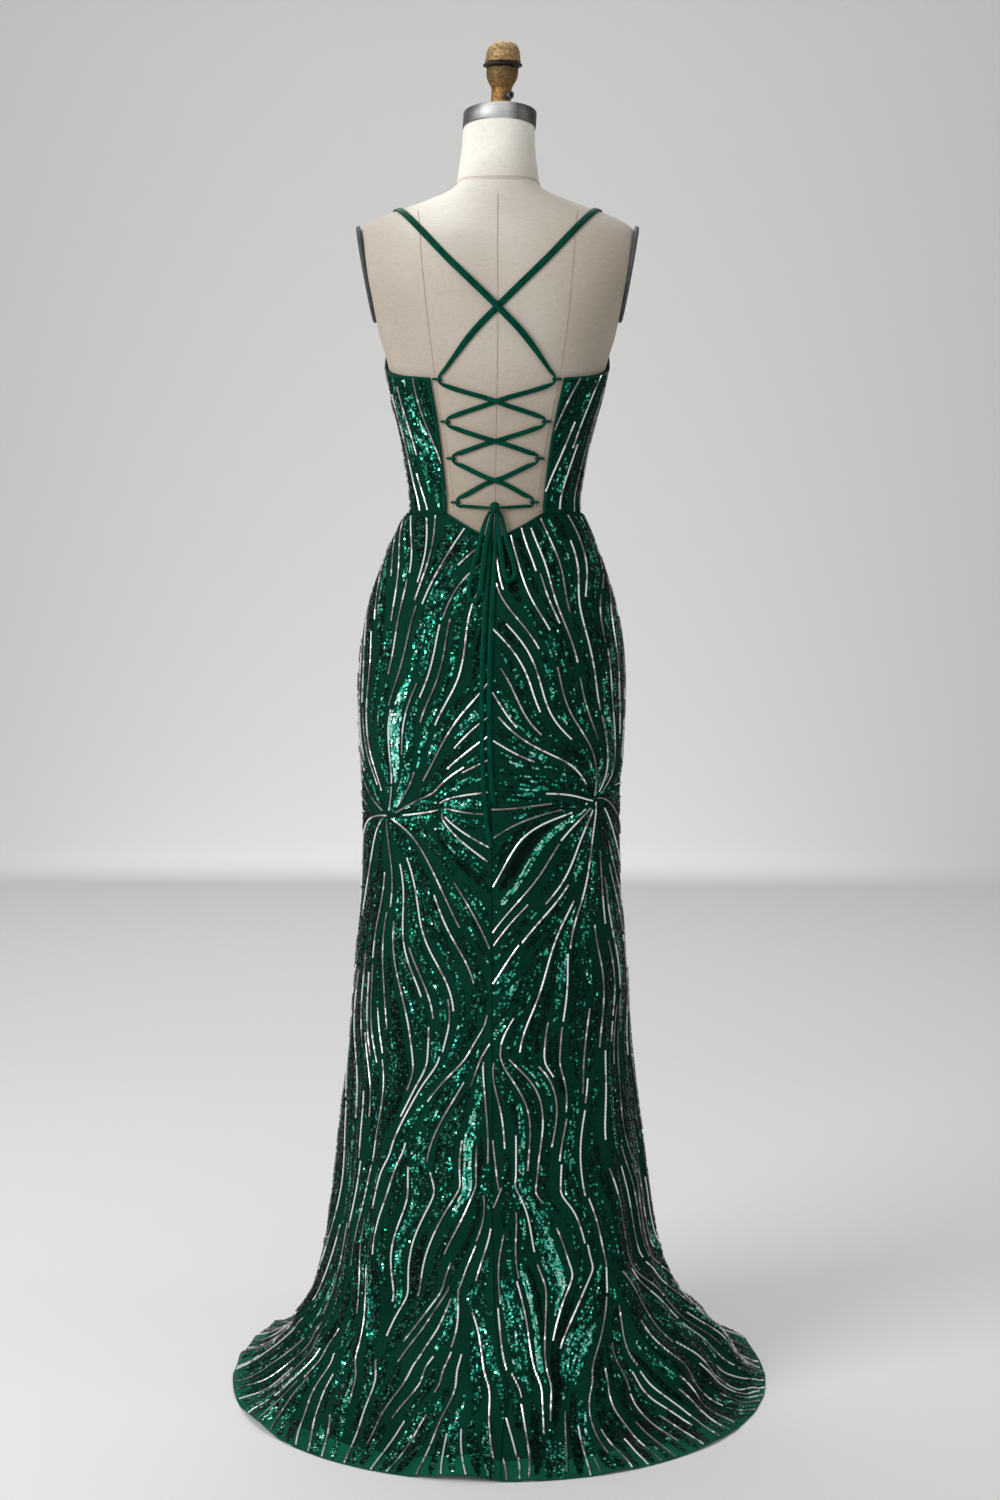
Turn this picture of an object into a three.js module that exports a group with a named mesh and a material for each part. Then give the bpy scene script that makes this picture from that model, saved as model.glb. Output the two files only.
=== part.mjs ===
// An evening gown with crossed straps and a laced open back, worn by a dress form on a round foot.
// Millimetres, +Z up. The origin is the middle of the foot's underside. The gown's front faces -Y and
// its left side is at +X. Angles round the body are in degrees from the centre back towards +X.
import * as THREE from "three";

// Driving dimensions of the cloth
const NET_WALL = 1.4; // sequinned net with the lining behind it
const BODICE_WALL = 1.6;
const LINING_WALL = 1.0;
const BINDING_WALL = 1.0;
const BINDING_WIDTH = 3.6;
const BODICE_EASE = 1.7; // from the dress form to the inside of the bodice
const SEAM_GAP = 0.3;
const WAIST_Z = 1106;
const V_POINT_Z = 1073; // lowest point of the open back
const SKIRT_HEM = 1262; // down the cloth from the waist

// Opening of the laced back: distance of each edge from the centre back
const OPENING = [
  { z: 1100, edge: 58 },
  { z: 1120, edge: 58 },
  { z: 1174, edge: 63.5 },
  { z: 1218, edge: 70 },
  { z: 1275, edge: 81 },
];

// Straps, laces and bow, all of one satin tube
const STRAP_WIDTH = 8.4;
const LACE_WIDTH = 6;
const PINCHED_WIDTH = 3.2; // where a lace passes through a loop
const LACE_THICKNESS = 1.8;
const BOW_THICKNESS = 2.2;
const LOOP_HEIGHTS = [1268, 1216, 1171, 1120];
const LOOP_LENGTH = 12; // how far a lace loop stands out from the edge of the back
const LOOP_BAND = { width: 3, thickness: 0.9 };
const UNDER_LIFT = 1.7; // middle of the lower lace above the dress form
const OVER_LIFT = 4.3; // middle of the upper lace
const LOOP_LIFT = 2.4; // middle of a lace inside a loop
const TURN = 3.6; // a lace passes this far above a loop's middle, and returns as far below
const KNOT = { z: 1112, halfWidth: 6.5, halfHeight: 7, halfDepth: 5.5, lift: 7.2 };

// The bow's loops and tails as seen from the back. lift is from the skirt to the cord's middle.
const BOW_LOOP_LEFT = [
  { x: 5.6, z: 1107, lift: 2.9, width: 3 },
  { x: 9.5, z: 1099, lift: 3.4, width: 4.2 },
  { x: 13.5, z: 1083, lift: 4.6, width: 6 },
  { x: 18, z: 1062, lift: 5.2, width: 6 },
  { x: 24, z: 1035, lift: 5.2, width: 6 },
  { x: 28, z: 1014, lift: 5.2, width: 6 },
  { x: 27, z: 1003, lift: 5.2, width: 6 },
  { x: 21, z: 998.5, lift: 5.2, width: 6 },
  { x: 15.8, z: 1007, lift: 5.2, width: 6 },
  { x: 12.4, z: 1030, lift: 5.2, width: 6 },
  { x: 9.6, z: 1061, lift: 5.4, width: 6 },
  { x: 6.2, z: 1085, lift: 6.2, width: 5 },
  { x: 3, z: 1104.7, lift: 6.4, width: 3.4 },
];
const BOW_LOOP_RIGHT = [
  { x: -5.6, z: 1107, lift: 2.9, width: 3 },
  { x: -9.2, z: 1099, lift: 3.4, width: 4.2 },
  { x: -13, z: 1083, lift: 4.6, width: 6 },
  { x: -18.6, z: 1064, lift: 5.2, width: 6 },
  { x: -24.6, z: 1046, lift: 5.2, width: 6 },
  { x: -26.6, z: 1033, lift: 5.2, width: 6 },
  { x: -23.4, z: 1024.5, lift: 5.2, width: 6 },
  { x: -17.6, z: 1024, lift: 5.2, width: 6 },
  { x: -13.6, z: 1033.5, lift: 5.2, width: 6 },
  { x: -11, z: 1050, lift: 5.4, width: 6 },
  { x: -6.8, z: 1077, lift: 6.1, width: 5 },
  { x: -3, z: 1104.7, lift: 6.4, width: 3.4 },
];
const TAIL_LEFT = [
  { x: 2, z: 1105, lift: 2.8, width: 3 },
  { x: 3.5, z: 1080, lift: 1.9, width: 5.6 },
  { x: 5.5, z: 1044, lift: 1.7, width: 6 },
  { x: 7.8, z: 1002, lift: 1.7, width: 6 },
  { x: 10.1, z: 952, lift: 1.7, width: 6 },
  { x: 11.4, z: 901, lift: 1.7, width: 6 },
  { x: 11.2, z: 849, lift: 1.7, width: 6 },
  { x: 10.1, z: 799, lift: 1.7, width: 6 },
  { x: 7.7, z: 755, lift: 1.7, width: 6 },
  { x: 4.2, z: 722, lift: 1.7, width: 6 },
  { x: 0, z: 699, lift: 1.7, width: 6 },
];
const TAIL_RIGHT = [
  { x: -2, z: 1105, lift: 2.8, width: 3 },
  { x: -3.1, z: 1080, lift: 1.9, width: 5.6 },
  { x: -2.4, z: 1044, lift: 1.7, width: 6 },
  { x: -0.6, z: 1002, lift: 1.7, width: 6 },
  { x: 1.5, z: 952, lift: 1.7, width: 6 },
  { x: 2.3, z: 901, lift: 1.7, width: 6 },
  { x: 1.9, z: 849, lift: 1.7, width: 6 },
  { x: 0.6, z: 799, lift: 1.7, width: 6 },
  { x: -1.7, z: 769.5, lift: 1.7, width: 6 },
  { x: -4.7, z: 749, lift: 1.7, width: 6 },
];

// Dress form, from the bottom edge to the neck seam. side, back and front are half sizes, backRound and
// frontRound the exponents of the section's curve, tip and dip tilt the ring up at the back.
const FORM = [
  { z: 800, side: 160.5, back: 118, front: 97.5, backRound: 2.2, frontRound: 2.2, tip: 0, dip: 0 },
  { z: 870, side: 164, back: 120.6, front: 99, backRound: 2.2, frontRound: 2.2, tip: 0, dip: 0 },
  { z: 921, side: 162.5, back: 118.5, front: 99.5, backRound: 2.2, frontRound: 2.2, tip: 0, dip: 0 },
  { z: 972, side: 155.4, back: 111, front: 98.5, backRound: 2.2, frontRound: 2.2, tip: 0, dip: 0 },
  { z: 1022, side: 142, back: 98.5, front: 96, backRound: 2.15, frontRound: 2.2, tip: 0, dip: 0 },
  { z: 1072, side: 122, back: 84, front: 92.5, backRound: 2.15, frontRound: 2.2, tip: 0, dip: 0 },
  { z: 1098, side: 106.5, back: 75.5, front: 89, backRound: 2.2, frontRound: 2.2, tip: 0, dip: 0 },
  { z: 1120, side: 102.6, back: 72, front: 88, backRound: 2.25, frontRound: 2.2, tip: 0, dip: 0 },
  { z: 1146, side: 105.3, back: 72.5, front: 92, backRound: 2.3, frontRound: 2.2, tip: 0, dip: 0 },
  { z: 1196, side: 114.2, back: 78, front: 109.5, backRound: 2.35, frontRound: 2.3, tip: 0, dip: 0 },
  { z: 1246, side: 127, back: 84, front: 125, backRound: 2.4, frontRound: 2.4, tip: 0, dip: 0 },
  { z: 1297, side: 138, back: 89, front: 122.5, backRound: 2.4, frontRound: 2.4, tip: 0, dip: 0 },
  { z: 1344, side: 154.5, back: 91, front: 104, backRound: 2.4, frontRound: 2.3, tip: 0, dip: 0 },
  { z: 1393, side: 176, back: 88, front: 80, backRound: 2.4, frontRound: 2.3, tip: 0, dip: 0 },
  { z: 1418, side: 180, back: 82, front: 68, backRound: 2.35, frontRound: 2.3, tip: 0.03, dip: 0.0005 },
  { z: 1445, side: 174, back: 69, front: 54, backRound: 2.25, frontRound: 2.2, tip: 0.06, dip: 0.0012 },
  { z: 1459, side: 162, back: 61, front: 46, backRound: 2.15, frontRound: 2.1, tip: 0.1, dip: 0.002 },
  { z: 1472, side: 135, back: 54.5, front: 40, backRound: 2.05, frontRound: 2.05, tip: 0.17, dip: 0.0032 },
  { z: 1484, side: 96, back: 50, front: 37, backRound: 2, frontRound: 2, tip: 0.28, dip: 0.0045 },
  { z: 1495, side: 64, back: 46, front: 37, backRound: 2, frontRound: 2, tip: 0.42, dip: 0.0062 },
  { z: 1504, side: 51.5, back: 43, front: 38.5, backRound: 2, frontRound: 2, tip: 0.5, dip: 0.0072 },
];
const FORM_ROWS = [
  800, 870, 950, 1020, 1074, 1098, 1110, 1126, 1146, 1170, 1194, 1218, 1240, 1260, 1280, 1300,
  1322, 1344, 1370, 1396, 1418, 1436, 1449, 1460, 1472, 1484, 1495, 1504,
];
const FORM_COLUMNS = 40;

// Neck and its steel cap, whose rings lean back to front
const NECK = [
  { z: 1504.4, side: 51.5, back: 43, front: 38.5, backRound: 2, frontRound: 2, tip: 0.5, dip: 0.0072 },
  { z: 1525, side: 49, back: 40, front: 42, backRound: 2, frontRound: 2, tip: 0.42, dip: 0.004 },
  { z: 1550, side: 45.6, back: 37, front: 46, backRound: 2, frontRound: 2, tip: 0.32, dip: 0.001 },
  { z: 1577, side: 44.2, back: 36, front: 51, backRound: 2, frontRound: 2, tip: 0.25, dip: 0 },
];
const CAP = [
  { z: 1577.4, side: 44.8, back: 36.6, front: 51.6, backRound: 2, frontRound: 2, tip: 0.25, dip: 0 },
  { z: 1595.5, side: 45, back: 36.8, front: 51.8, backRound: 2, frontRound: 2, tip: 0.25, dip: 0 },
  { z: 1597, side: 43.4, back: 35.2, front: 50.2, backRound: 2, frontRound: 2, tip: 0.25, dip: 0 },
];
const NECK_COLUMNS = 40;

// Armholes are cut flat by a plane that leans in towards the waist, and closed by an oval plate
const ARM_PLANE = { x: 167.5, z: 1445, lean: 0.178 };
const ARM_PLATE = { z: 1400, y: 3, halfHeight: 60, halfWidth: 44, thickness: 5 };

// Knob on top, turned about a vertical axis: half width and height above KNOB_Z
const KNOB_Z = 1597.1;
const KNOB_Y = -7.5;
const KNOB_STEM = [
  { r: 12.3, z: 0 },
  { r: 12.3, z: 27 },
  { r: 14, z: 33 },
  { r: 18.2, z: 40 },
  { r: 19.6, z: 47 },
  { r: 19.6, z: 55 },
];
const KNOB_RING = { r: 22.8, thick: 2.2, z: 58 };
const KNOB_TOP = [
  { r: 21.8, z: 61 },
  { r: 21.5, z: 67 },
  { r: 20, z: 75 },
  { r: 16.8, z: 81.8 },
  { r: 9.6, z: 86 },
];
const SCREW = { radius: 5.2, length: 8, z: 20, turn: 126 }; // turn is measured from +X towards +Y

// Stand, hidden by the skirt
const POLE_RADIUS = 16;
const FOOT = [
  { r: 155, z: 0 },
  { r: 155, z: 5 },
  { r: 148, z: 9 },
  { r: 42, z: 15 },
  { r: 26, z: 26 },
  { r: 24, z: 62 },
];

// Top edge of the bodice, by angle round the body
const BODICE_TOP = [
  { angle: 30, z: 1270 },
  { angle: 60, z: 1275 },
  { angle: 90, z: 1286 },
  { angle: 102, z: 1299 },
  { angle: 120, z: 1322 },
  { angle: 136, z: 1338 },
  { angle: 152, z: 1318 },
  { angle: 168, z: 1268 },
  { angle: 180, z: 1232 },
];

// Outer face of the skirt, by distance down the cloth from the waist
const SKIRT = [
  { down: 0, z: 1106, side: 109.5, back: 76, front: 92, backRound: 2.2, frontRound: 2.2 },
  { down: 13, z: 1094, side: 115.5, back: 80, front: 93.2, backRound: 2.2, frontRound: 2.2 },
  { down: 37, z: 1072, side: 126, back: 87.2, front: 96, backRound: 2.15, frontRound: 2.2 },
  { down: 91, z: 1022, side: 145.2, back: 101.6, front: 99.2, backRound: 2.15, frontRound: 2.2 },
  { down: 143, z: 972, side: 158.4, back: 114, front: 101.6, backRound: 2.2, frontRound: 2.2 },
  { down: 194, z: 921, side: 165.6, back: 121.6, front: 102.6, backRound: 2.2, frontRound: 2.2 },
  { down: 245, z: 870, side: 167, back: 123.8, front: 102.2, backRound: 2.2, frontRound: 2.2 },
  { down: 295, z: 820, side: 165.4, back: 122.4, front: 101.6, backRound: 2.2, frontRound: 2.2 },
  { down: 371, z: 744, side: 162, back: 120.2, front: 103.4, backRound: 2.2, frontRound: 2.2 },
  { down: 473, z: 642, side: 162.4, back: 122.6, front: 109.4, backRound: 2.2, frontRound: 2.2 },
  { down: 577, z: 539, side: 169.4, back: 130.6, front: 119.4, backRound: 2.2, frontRound: 2.2 },
  { down: 680, z: 436, side: 175, back: 142.4, front: 131.6, backRound: 2.15, frontRound: 2.2 },
  { down: 785, z: 332, side: 185.5, back: 157.4, front: 146.4, backRound: 2.15, frontRound: 2.15 },
  { down: 891, z: 227, side: 197, back: 176.6, front: 164.4, backRound: 2.1, frontRound: 2.15 },
  { down: 946, z: 174, side: 205.5, back: 189.4, front: 177, backRound: 2.1, frontRound: 2.15 },
  { down: 1002, z: 122, side: 221.5, back: 207, front: 197, backRound: 2.1, frontRound: 2.15 },
  { down: 1033, z: 95, side: 235, back: 221, front: 212, backRound: 2.1, frontRound: 2.15 },
  { down: 1062, z: 70, side: 254, back: 236, front: 226, backRound: 2.1, frontRound: 2.2 },
  { down: 1090, z: 47, side: 272, back: 254, front: 242, backRound: 2.05, frontRound: 2.2 },
  { down: 1117, z: 28, side: 288, back: 274, front: 260, backRound: 2.05, frontRound: 2.2 },
  { down: 1145, z: 15, side: 303, back: 297, front: 281, backRound: 2.05, frontRound: 2.2 },
  { down: 1176, z: 8.5, side: 317, back: 323, front: 303, backRound: 2.05, frontRound: 2.2 },
  { down: 1206, z: 5.6, side: 328, back: 346, front: 322, backRound: 2.05, frontRound: 2.2 },
  { down: 1236, z: 3.4, side: 336, back: 364, front: 337, backRound: 2.05, frontRound: 2.2 },
  { down: 1262, z: 1.4, side: 342, back: 381, front: 350, backRound: 2.05, frontRound: 2.2 },
];
const SKIRT_ROWS = [
  0, 18, 50, 91, 143, 194, 245, 310, 385, 473, 560, 640, 712, 785, 840, 891, 946, 1002, 1037, 1072, 1100,
  1128, 1157, 1186, 1224, 1262,
];
const LINING_ROWS = [1072, 1100, 1128, 1157, 1186];
const BACK_SKIRT_COLUMNS = 15;
const FRONT_SKIRT_COLUMNS = 26;

// The dressed form isn't quite upright: how far the middle lies towards +X at each height
const LEAN = [
  { z: 0, shift: -5 },
  { z: 28, shift: -9 },
  { z: 62, shift: -15 },
  { z: 85, shift: -7.5 },
  { z: 115, shift: -2 },
  { z: 160, shift: 2 },
  { z: 250, shift: 4 },
  { z: 500, shift: 4.5 },
  { z: 800, shift: 5.5 },
  { z: 950, shift: 4.4 },
  { z: 1060, shift: 3 },
  { z: 1110, shift: 0.8 },
  { z: 1200, shift: -0.3 },
  { z: 1300, shift: -2.4 },
  { z: 1450, shift: -2.6 },
  { z: 1560, shift: -4 },
  { z: 1625, shift: -7.5 },
  { z: 1690, shift: -10.5 },
];
const UPRIGHT = ["stand_foot", "stand_pole"];

// Soft upright folds of the lower skirt: where, how wide in degrees, and how far each stands out
const FOLDS = [
  { angle: 84, spread: 9, height: 9 },
  { angle: 58, spread: 7, height: 5 },
  { angle: 40, spread: 7, height: 13 },
  { angle: 14, spread: 8, height: 7 },
  { angle: -6, spread: 7, height: 6 },
  { angle: -27, spread: 8, height: 6 },
  { angle: -48, spread: 7, height: 12 },
  { angle: -67, spread: 7, height: 6 },
  { angle: -87, spread: 8, height: 10 },
  { angle: 109, spread: 8, height: 7 },
  { angle: 134, spread: 9, height: 10 },
  { angle: 161, spread: 8, height: 6 },
  { angle: 186, spread: 8, height: 8 },
  { angle: 208, spread: 8, height: 6 },
  { angle: 229, spread: 9, height: 10 },
  { angle: 252, spread: 8, height: 6 },
];
const FOLD_START = 430; // down the cloth, where the folds begin
const FOLD_FULL = 1000;
const FOLD_FADE = 1110; // from here they sink into the train
const FOLD_END = 1225;

// Colours of the real materials
const SEQUIN_GREEN = { color: 0x0b4a36, roughness: 0.45, metalness: 0.1 };
const LINING_GREEN = { color: 0x11613f, roughness: 0.6, metalness: 0 };
const SATIN_GREEN = { color: 0x07483a, roughness: 0.4, metalness: 0 };
const LINEN = { color: 0xded6c8, roughness: 0.9, metalness: 0 };
const STEEL = { color: 0xa9abad, roughness: 0.3, metalness: 1 };
const BRASS = { color: 0x8a6a3c, roughness: 0.55, metalness: 0.6 };
const BLACK_RUBBER = { color: 0x17191b, roughness: 0.7, metalness: 0 };
const GREY_PLATE = { color: 0x59646a, roughness: 0.5, metalness: 0 };
const BLACK_IRON = { color: 0x202224, roughness: 0.5, metalness: 0.7 };

const model = new THREE.Group();
const radians = THREE.MathUtils.degToRad;

// Adds a named mesh of one material to the model.
function addPiece(name, geometry, finish) {
  const mesh = new THREE.Mesh(geometry, new THREE.MeshStandardMaterial(finish));
  mesh.name = name;
  model.add(mesh);
}

// The row of a table at a value of its key column, with smooth curves between the rows.
function tableAt(table, key, value) {
  let high = table.findIndex((row) => row[key] >= value);
  if (high < 1) high = high === 0 ? 1 : table.length - 1;
  const a = table[high - 1];
  const b = table[high];
  const before = table[high - 2] ?? a;
  const after = table[high + 1] ?? b;
  const t = (value - a[key]) / (b[key] - a[key]);
  const row = {};
  for (const column of Object.keys(a)) {
    const span = b[key] - a[key];
    const slopeA = ((b[column] - before[column]) / (b[key] - before[key])) * span;
    const slopeB = ((after[column] - a[column]) / (after[key] - a[key])) * span;
    row[column] =
      a[column] * (2 * t ** 3 - 3 * t ** 2 + 1) +
      slopeA * (t ** 3 - 2 * t ** 2 + t) +
      b[column] * (3 * t ** 2 - 2 * t ** 3) +
      slopeB * (t ** 3 - t ** 2);
  }
  return row;
}

// The point of a section at an angle, on a curve between an ellipse and a rounded box.
function sectionPoint(row, angle, grow = 0) {
  const sine = Math.sin(radians(angle));
  const cosine = Math.cos(radians(angle));
  const depth = (cosine >= 0 ? row.back : row.front) + grow;
  const round = cosine >= 0 ? row.backRound : row.frontRound;
  const x = (row.side + grow) * Math.sign(sine) * Math.abs(sine) ** (2 / round);
  const y = depth * Math.sign(cosine) * Math.abs(cosine) ** (2 / round);
  const z = row.z + (row.tip ?? 0) * y - (row.dip ?? 0) * y * y;
  return new THREE.Vector3(x, y, z);
}

// The angle at which a section is x from the centre back.
function angleOfX(row, x) {
  return THREE.MathUtils.radToDeg(Math.asin((Math.abs(x) / row.side) ** (row.backRound / 2)));
}

// How far a point is outside a body's surface: 0 on it, negative inside. sectionAt gives the body's row.
function outside(sectionAt, p) {
  let row = sectionAt(p.z);
  for (let i = 0; i < 4; i += 1) {
    row = sectionAt(p.z - (row.tip ?? 0) * p.y + (row.dip ?? 0) * p.y * p.y);
  }
  const depth = p.y >= 0 ? row.back : row.front;
  const round = p.y >= 0 ? row.backRound : row.frontRound;
  return (Math.abs(p.x) / row.side) ** round + (Math.abs(p.y) / depth) ** round - 1;
}

// Brings a point onto a body's surface, then lifts it off along the surface's normal.
function onSurface(sectionAt, start, lift) {
  const p = start.clone();
  const normal = new THREE.Vector3();
  const step = 0.5;
  for (let i = 0; i < 8; i += 1) {
    const here = outside(sectionAt, p);
    normal.set(
      outside(sectionAt, p.clone().add(new THREE.Vector3(step, 0, 0))) - here,
      outside(sectionAt, p.clone().add(new THREE.Vector3(0, step, 0))) - here,
      outside(sectionAt, p.clone().add(new THREE.Vector3(0, 0, step))) - here,
    );
    normal.divideScalar(step);
    p.addScaledVector(normal, -here / normal.lengthSq());
  }
  return p.addScaledVector(normal.normalize(), lift);
}

const formAt = (z) => tableAt(FORM, "z", Math.min(Math.max(z, FORM[0].z), FORM.at(-1).z));
const skirtByHeight = [...SKIRT].reverse();
const skirtAtHeight = (z) => tableAt(skirtByHeight, "z", z);

// A closed solid lofted through rings, each a list of points, with a fan over each end.
function loft(rings) {
  const columns = rings[0].length;
  const points = rings.flat();
  const faces = [];
  for (let j = 0; j + 1 < rings.length; j += 1) {
    for (let i = 0; i < columns; i += 1) {
      const a = j * columns + i;
      const b = j * columns + ((i + 1) % columns);
      faces.push(a, a + columns, b, b, a + columns, b + columns);
    }
  }
  for (const ring of [0, rings.length - 1]) {
    const middle = new THREE.Vector3();
    for (const p of rings[ring]) middle.addScaledVector(p, 1 / columns);
    points.push(middle);
    for (let i = 0; i < columns; i += 1) {
      const a = ring * columns + i;
      const b = ring * columns + ((i + 1) % columns);
      if (ring === 0) faces.push(points.length - 1, a, b);
      else faces.push(points.length - 1, b, a);
    }
  }
  return solidOf(points, faces);
}

function solidOf(points, faces) {
  const geometry = new THREE.BufferGeometry().setFromPoints(points);
  geometry.setIndex(faces);
  geometry.computeVertexNormals();
  return geometry;
}

// Rings of a body from its table, from the lowest up. Angles run the way that turns the faces outwards.
function ringsOf(sectionAt, heights, columns, shape = (p) => p) {
  return heights.map((z) =>
    Array.from({ length: columns }, (_, i) => shape(sectionPoint(sectionAt(z), (360 * i) / columns))),
  );
}

// A cloth wall. point(a, b) gives the outer face at the shares a across and b down the piece, with a
// running from the centre back towards +X. trim moves the two side edges in, to leave half a seam gap.
function clothWall({ across, down, point, wall, lift = 0, trim = SEAM_GAP / 2 }) {
  const outer = [];
  const inner = [];
  const small = 1e-4;
  const share = (value) => Math.min(Math.max(value, 0), 1);
  down.forEach((b) => {
    across.forEach((a, i) => {
      const p = point(a, b);
      const alongA = point(share(a + small), b).sub(point(share(a - small), b));
      const alongB = point(a, share(b + small)).sub(point(a, share(b - small)));
      const normal = alongA.clone().cross(alongB).normalize();
      const isFirst = i === 0;
      const isLast = i === across.length - 1;
      if (isFirst || isLast) p.addScaledVector(alongA.normalize(), isFirst ? trim : -trim);
      outer.push(p.clone().addScaledVector(normal, lift));
      inner.push(p.clone().addScaledVector(normal, lift - wall));
    });
  });
  for (const p of inner) p.z = Math.max(p.z, 0);
  const columns = across.length;
  const count = outer.length;
  const faces = [];
  const quad = (a, b, c, d) => faces.push(a, b, c, a, c, d);
  for (let j = 0; j + 1 < down.length; j += 1) {
    for (let i = 0; i + 1 < columns; i += 1) {
      const a = j * columns + i;
      quad(a, a + 1, a + columns + 1, a + columns);
      quad(count + a, count + a + columns, count + a + columns + 1, count + a + 1);
    }
    const left = j * columns;
    const right = left + columns - 1;
    quad(left, left + columns, count + left + columns, count + left);
    quad(right + columns, right, count + right, count + right + columns);
  }
  for (let i = 0; i + 1 < columns; i += 1) {
    const foot = (down.length - 1) * columns + i;
    quad(i + 1, i, count + i, count + i + 1);
    quad(foot, foot + 1, count + foot + 1, count + foot);
  }
  return solidOf([...outer, ...inner], faces);
}

const shares = (cells) => Array.from({ length: cells + 1 }, (_, i) => i / cells);

// A flat tube along points: an oval section whose width lies square to the path and to each normal.
function flatTube(points, normals, widths, thickness, sides) {
  const rings = points.map((p, i) => {
    const along = points[Math.min(i + 1, points.length - 1)].clone().sub(points[Math.max(i - 1, 0)]);
    along.normalize();
    const sideways = along.clone().cross(normals[i]).normalize();
    const up = sideways.clone().cross(along).normalize();
    return Array.from({ length: sides }, (_, k) => {
      const turn = (2 * Math.PI * (k + 0.5)) / sides;
      return p
        .clone()
        .addScaledVector(sideways, (Math.cos(turn) * widths[i]) / 2)
        .addScaledVector(up, (Math.sin(turn) * thickness) / 2);
    });
  });
  return loft(rings);
}

// A flat tube that follows a body's surface. Each row of the route gives a place near the surface, how far
// the tube's middle is lifted off it and how wide the tube is there. steps is per row.
function tubeOnSurface(sectionAt, route, { thickness, steps, sides }) {
  const places = route.map((row) => onSurface(sectionAt, new THREE.Vector3(row.x, row.y, row.z), 0));
  const curve = new THREE.CatmullRomCurve3(places, false, "centripetal");
  const cells = route.length - 1;
  const points = [];
  const normals = [];
  const widths = [];
  for (let i = 0; i <= cells * steps; i += 1) {
    const row = Math.min(Math.floor(i / steps), cells - 1);
    const t = i / steps - row;
    const near = onSurface(sectionAt, curve.getPoint(i / (cells * steps)), 0);
    const smooth = THREE.MathUtils.smoothstep(t, 0, 1);
    const lift = THREE.MathUtils.lerp(route[row].lift, route[row + 1].lift, smooth);
    const far = onSurface(sectionAt, near, lift);
    points.push(far);
    normals.push(far.clone().sub(near).normalize());
    widths.push(THREE.MathUtils.lerp(route[row].width, route[row + 1].width, smooth));
  }
  return flatTube(points, normals, widths, thickness, sides);
}

// The torso of the dress form, flat at the armholes.
function makeTorso() {
  const cutFlat = (p) => {
    const limit = ARM_PLANE.x - ARM_PLANE.lean * (ARM_PLANE.z - p.z);
    p.x = Math.sign(p.x) * Math.min(Math.abs(p.x), limit);
    return p;
  };
  addPiece("form_torso", loft(ringsOf(formAt, FORM_ROWS, FORM_COLUMNS, cutFlat)), LINEN);
}

// An oval plate on each armhole, its face square to the flat that it closes.
function makeArmPlates() {
  const oval = new THREE.Shape().absellipse(0, 0, ARM_PLATE.halfWidth, ARM_PLATE.halfHeight, 0, 2 * Math.PI);
  const settings = { depth: ARM_PLATE.thickness, bevelEnabled: false, curveSegments: 32 };
  const lean = Math.atan(ARM_PLANE.lean);
  for (const [name, sign] of [["arm_plate_left", 1], ["arm_plate_right", -1]]) {
    const plate = new THREE.ExtrudeGeometry(oval, settings);
    plate.translate(0, 0, SEAM_GAP);
    plate.rotateY(Math.PI / 2);
    plate.rotateX(Math.PI / 2);
    plate.rotateY(lean);
    plate.translate(ARM_PLANE.x - ARM_PLANE.lean * (ARM_PLANE.z - ARM_PLATE.z), ARM_PLATE.y, ARM_PLATE.z);
    if (sign < 0) plate.rotateZ(Math.PI).translate(0, 2 * ARM_PLATE.y, 0);
    addPiece(name, plate, GREY_PLATE);
  }
}

function makeNeckAndCap() {
  const neckAt = (z) => tableAt(NECK, "z", z);
  const capAt = (z) => tableAt(CAP, "z", z);
  const neckHeights = NECK.map((row) => row.z);
  addPiece("form_neck", loft(ringsOf(neckAt, neckHeights, NECK_COLUMNS)), LINEN);
  addPiece("neck_cap", loft(ringsOf(capAt, CAP.map((row) => row.z), NECK_COLUMNS)), STEEL);
}

// A solid turned about a vertical axis from a profile of radii and heights.
function turned(profile, segments) {
  const outline = profile.map((row) => new THREE.Vector2(row.r, row.z));
  const closed = [new THREE.Vector2(0, profile[0].z), ...outline, new THREE.Vector2(0, profile.at(-1).z)];
  return new THREE.LatheGeometry(closed, segments).rotateX(Math.PI / 2);
}

function makeKnob() {
  const stem = turned(KNOB_STEM, 20);
  const places = stem.getAttribute("position");
  for (let i = 0; i < places.count; i += 1) {
    if (places.getZ(i) < 1) places.setZ(i, CAP[0].tip * (places.getY(i) + KNOB_Y) + SEAM_GAP);
  }
  const ring = [
    { r: KNOB_RING.r - KNOB_RING.thick, z: KNOB_RING.z - KNOB_RING.thick },
    { r: KNOB_RING.r + 1, z: KNOB_RING.z - KNOB_RING.thick * 0.6 },
    { r: KNOB_RING.r + 1.6, z: KNOB_RING.z },
    { r: KNOB_RING.r + 1, z: KNOB_RING.z + KNOB_RING.thick * 0.6 },
    { r: KNOB_RING.r - KNOB_RING.thick, z: KNOB_RING.z + KNOB_RING.thick },
  ];
  addPiece("knob_stem", stem.translate(0, KNOB_Y, KNOB_Z), BRASS);
  addPiece("knob_ring", turned(ring, 20).translate(0, KNOB_Y, KNOB_Z), BLACK_RUBBER);
  addPiece("knob_top", turned(KNOB_TOP, 20).translate(0, KNOB_Y, KNOB_Z), BRASS);
  const screw = new THREE.CylinderGeometry(SCREW.radius, SCREW.radius, SCREW.length, 10);
  screw.rotateZ(-Math.PI / 2);
  screw.translate(KNOB_STEM[0].r + SEAM_GAP + SCREW.length / 2, 0, SCREW.z);
  screw.rotateZ(radians(SCREW.turn));
  addPiece("knob_screw", screw.translate(0, KNOB_Y, KNOB_Z), STEEL);
}

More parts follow.
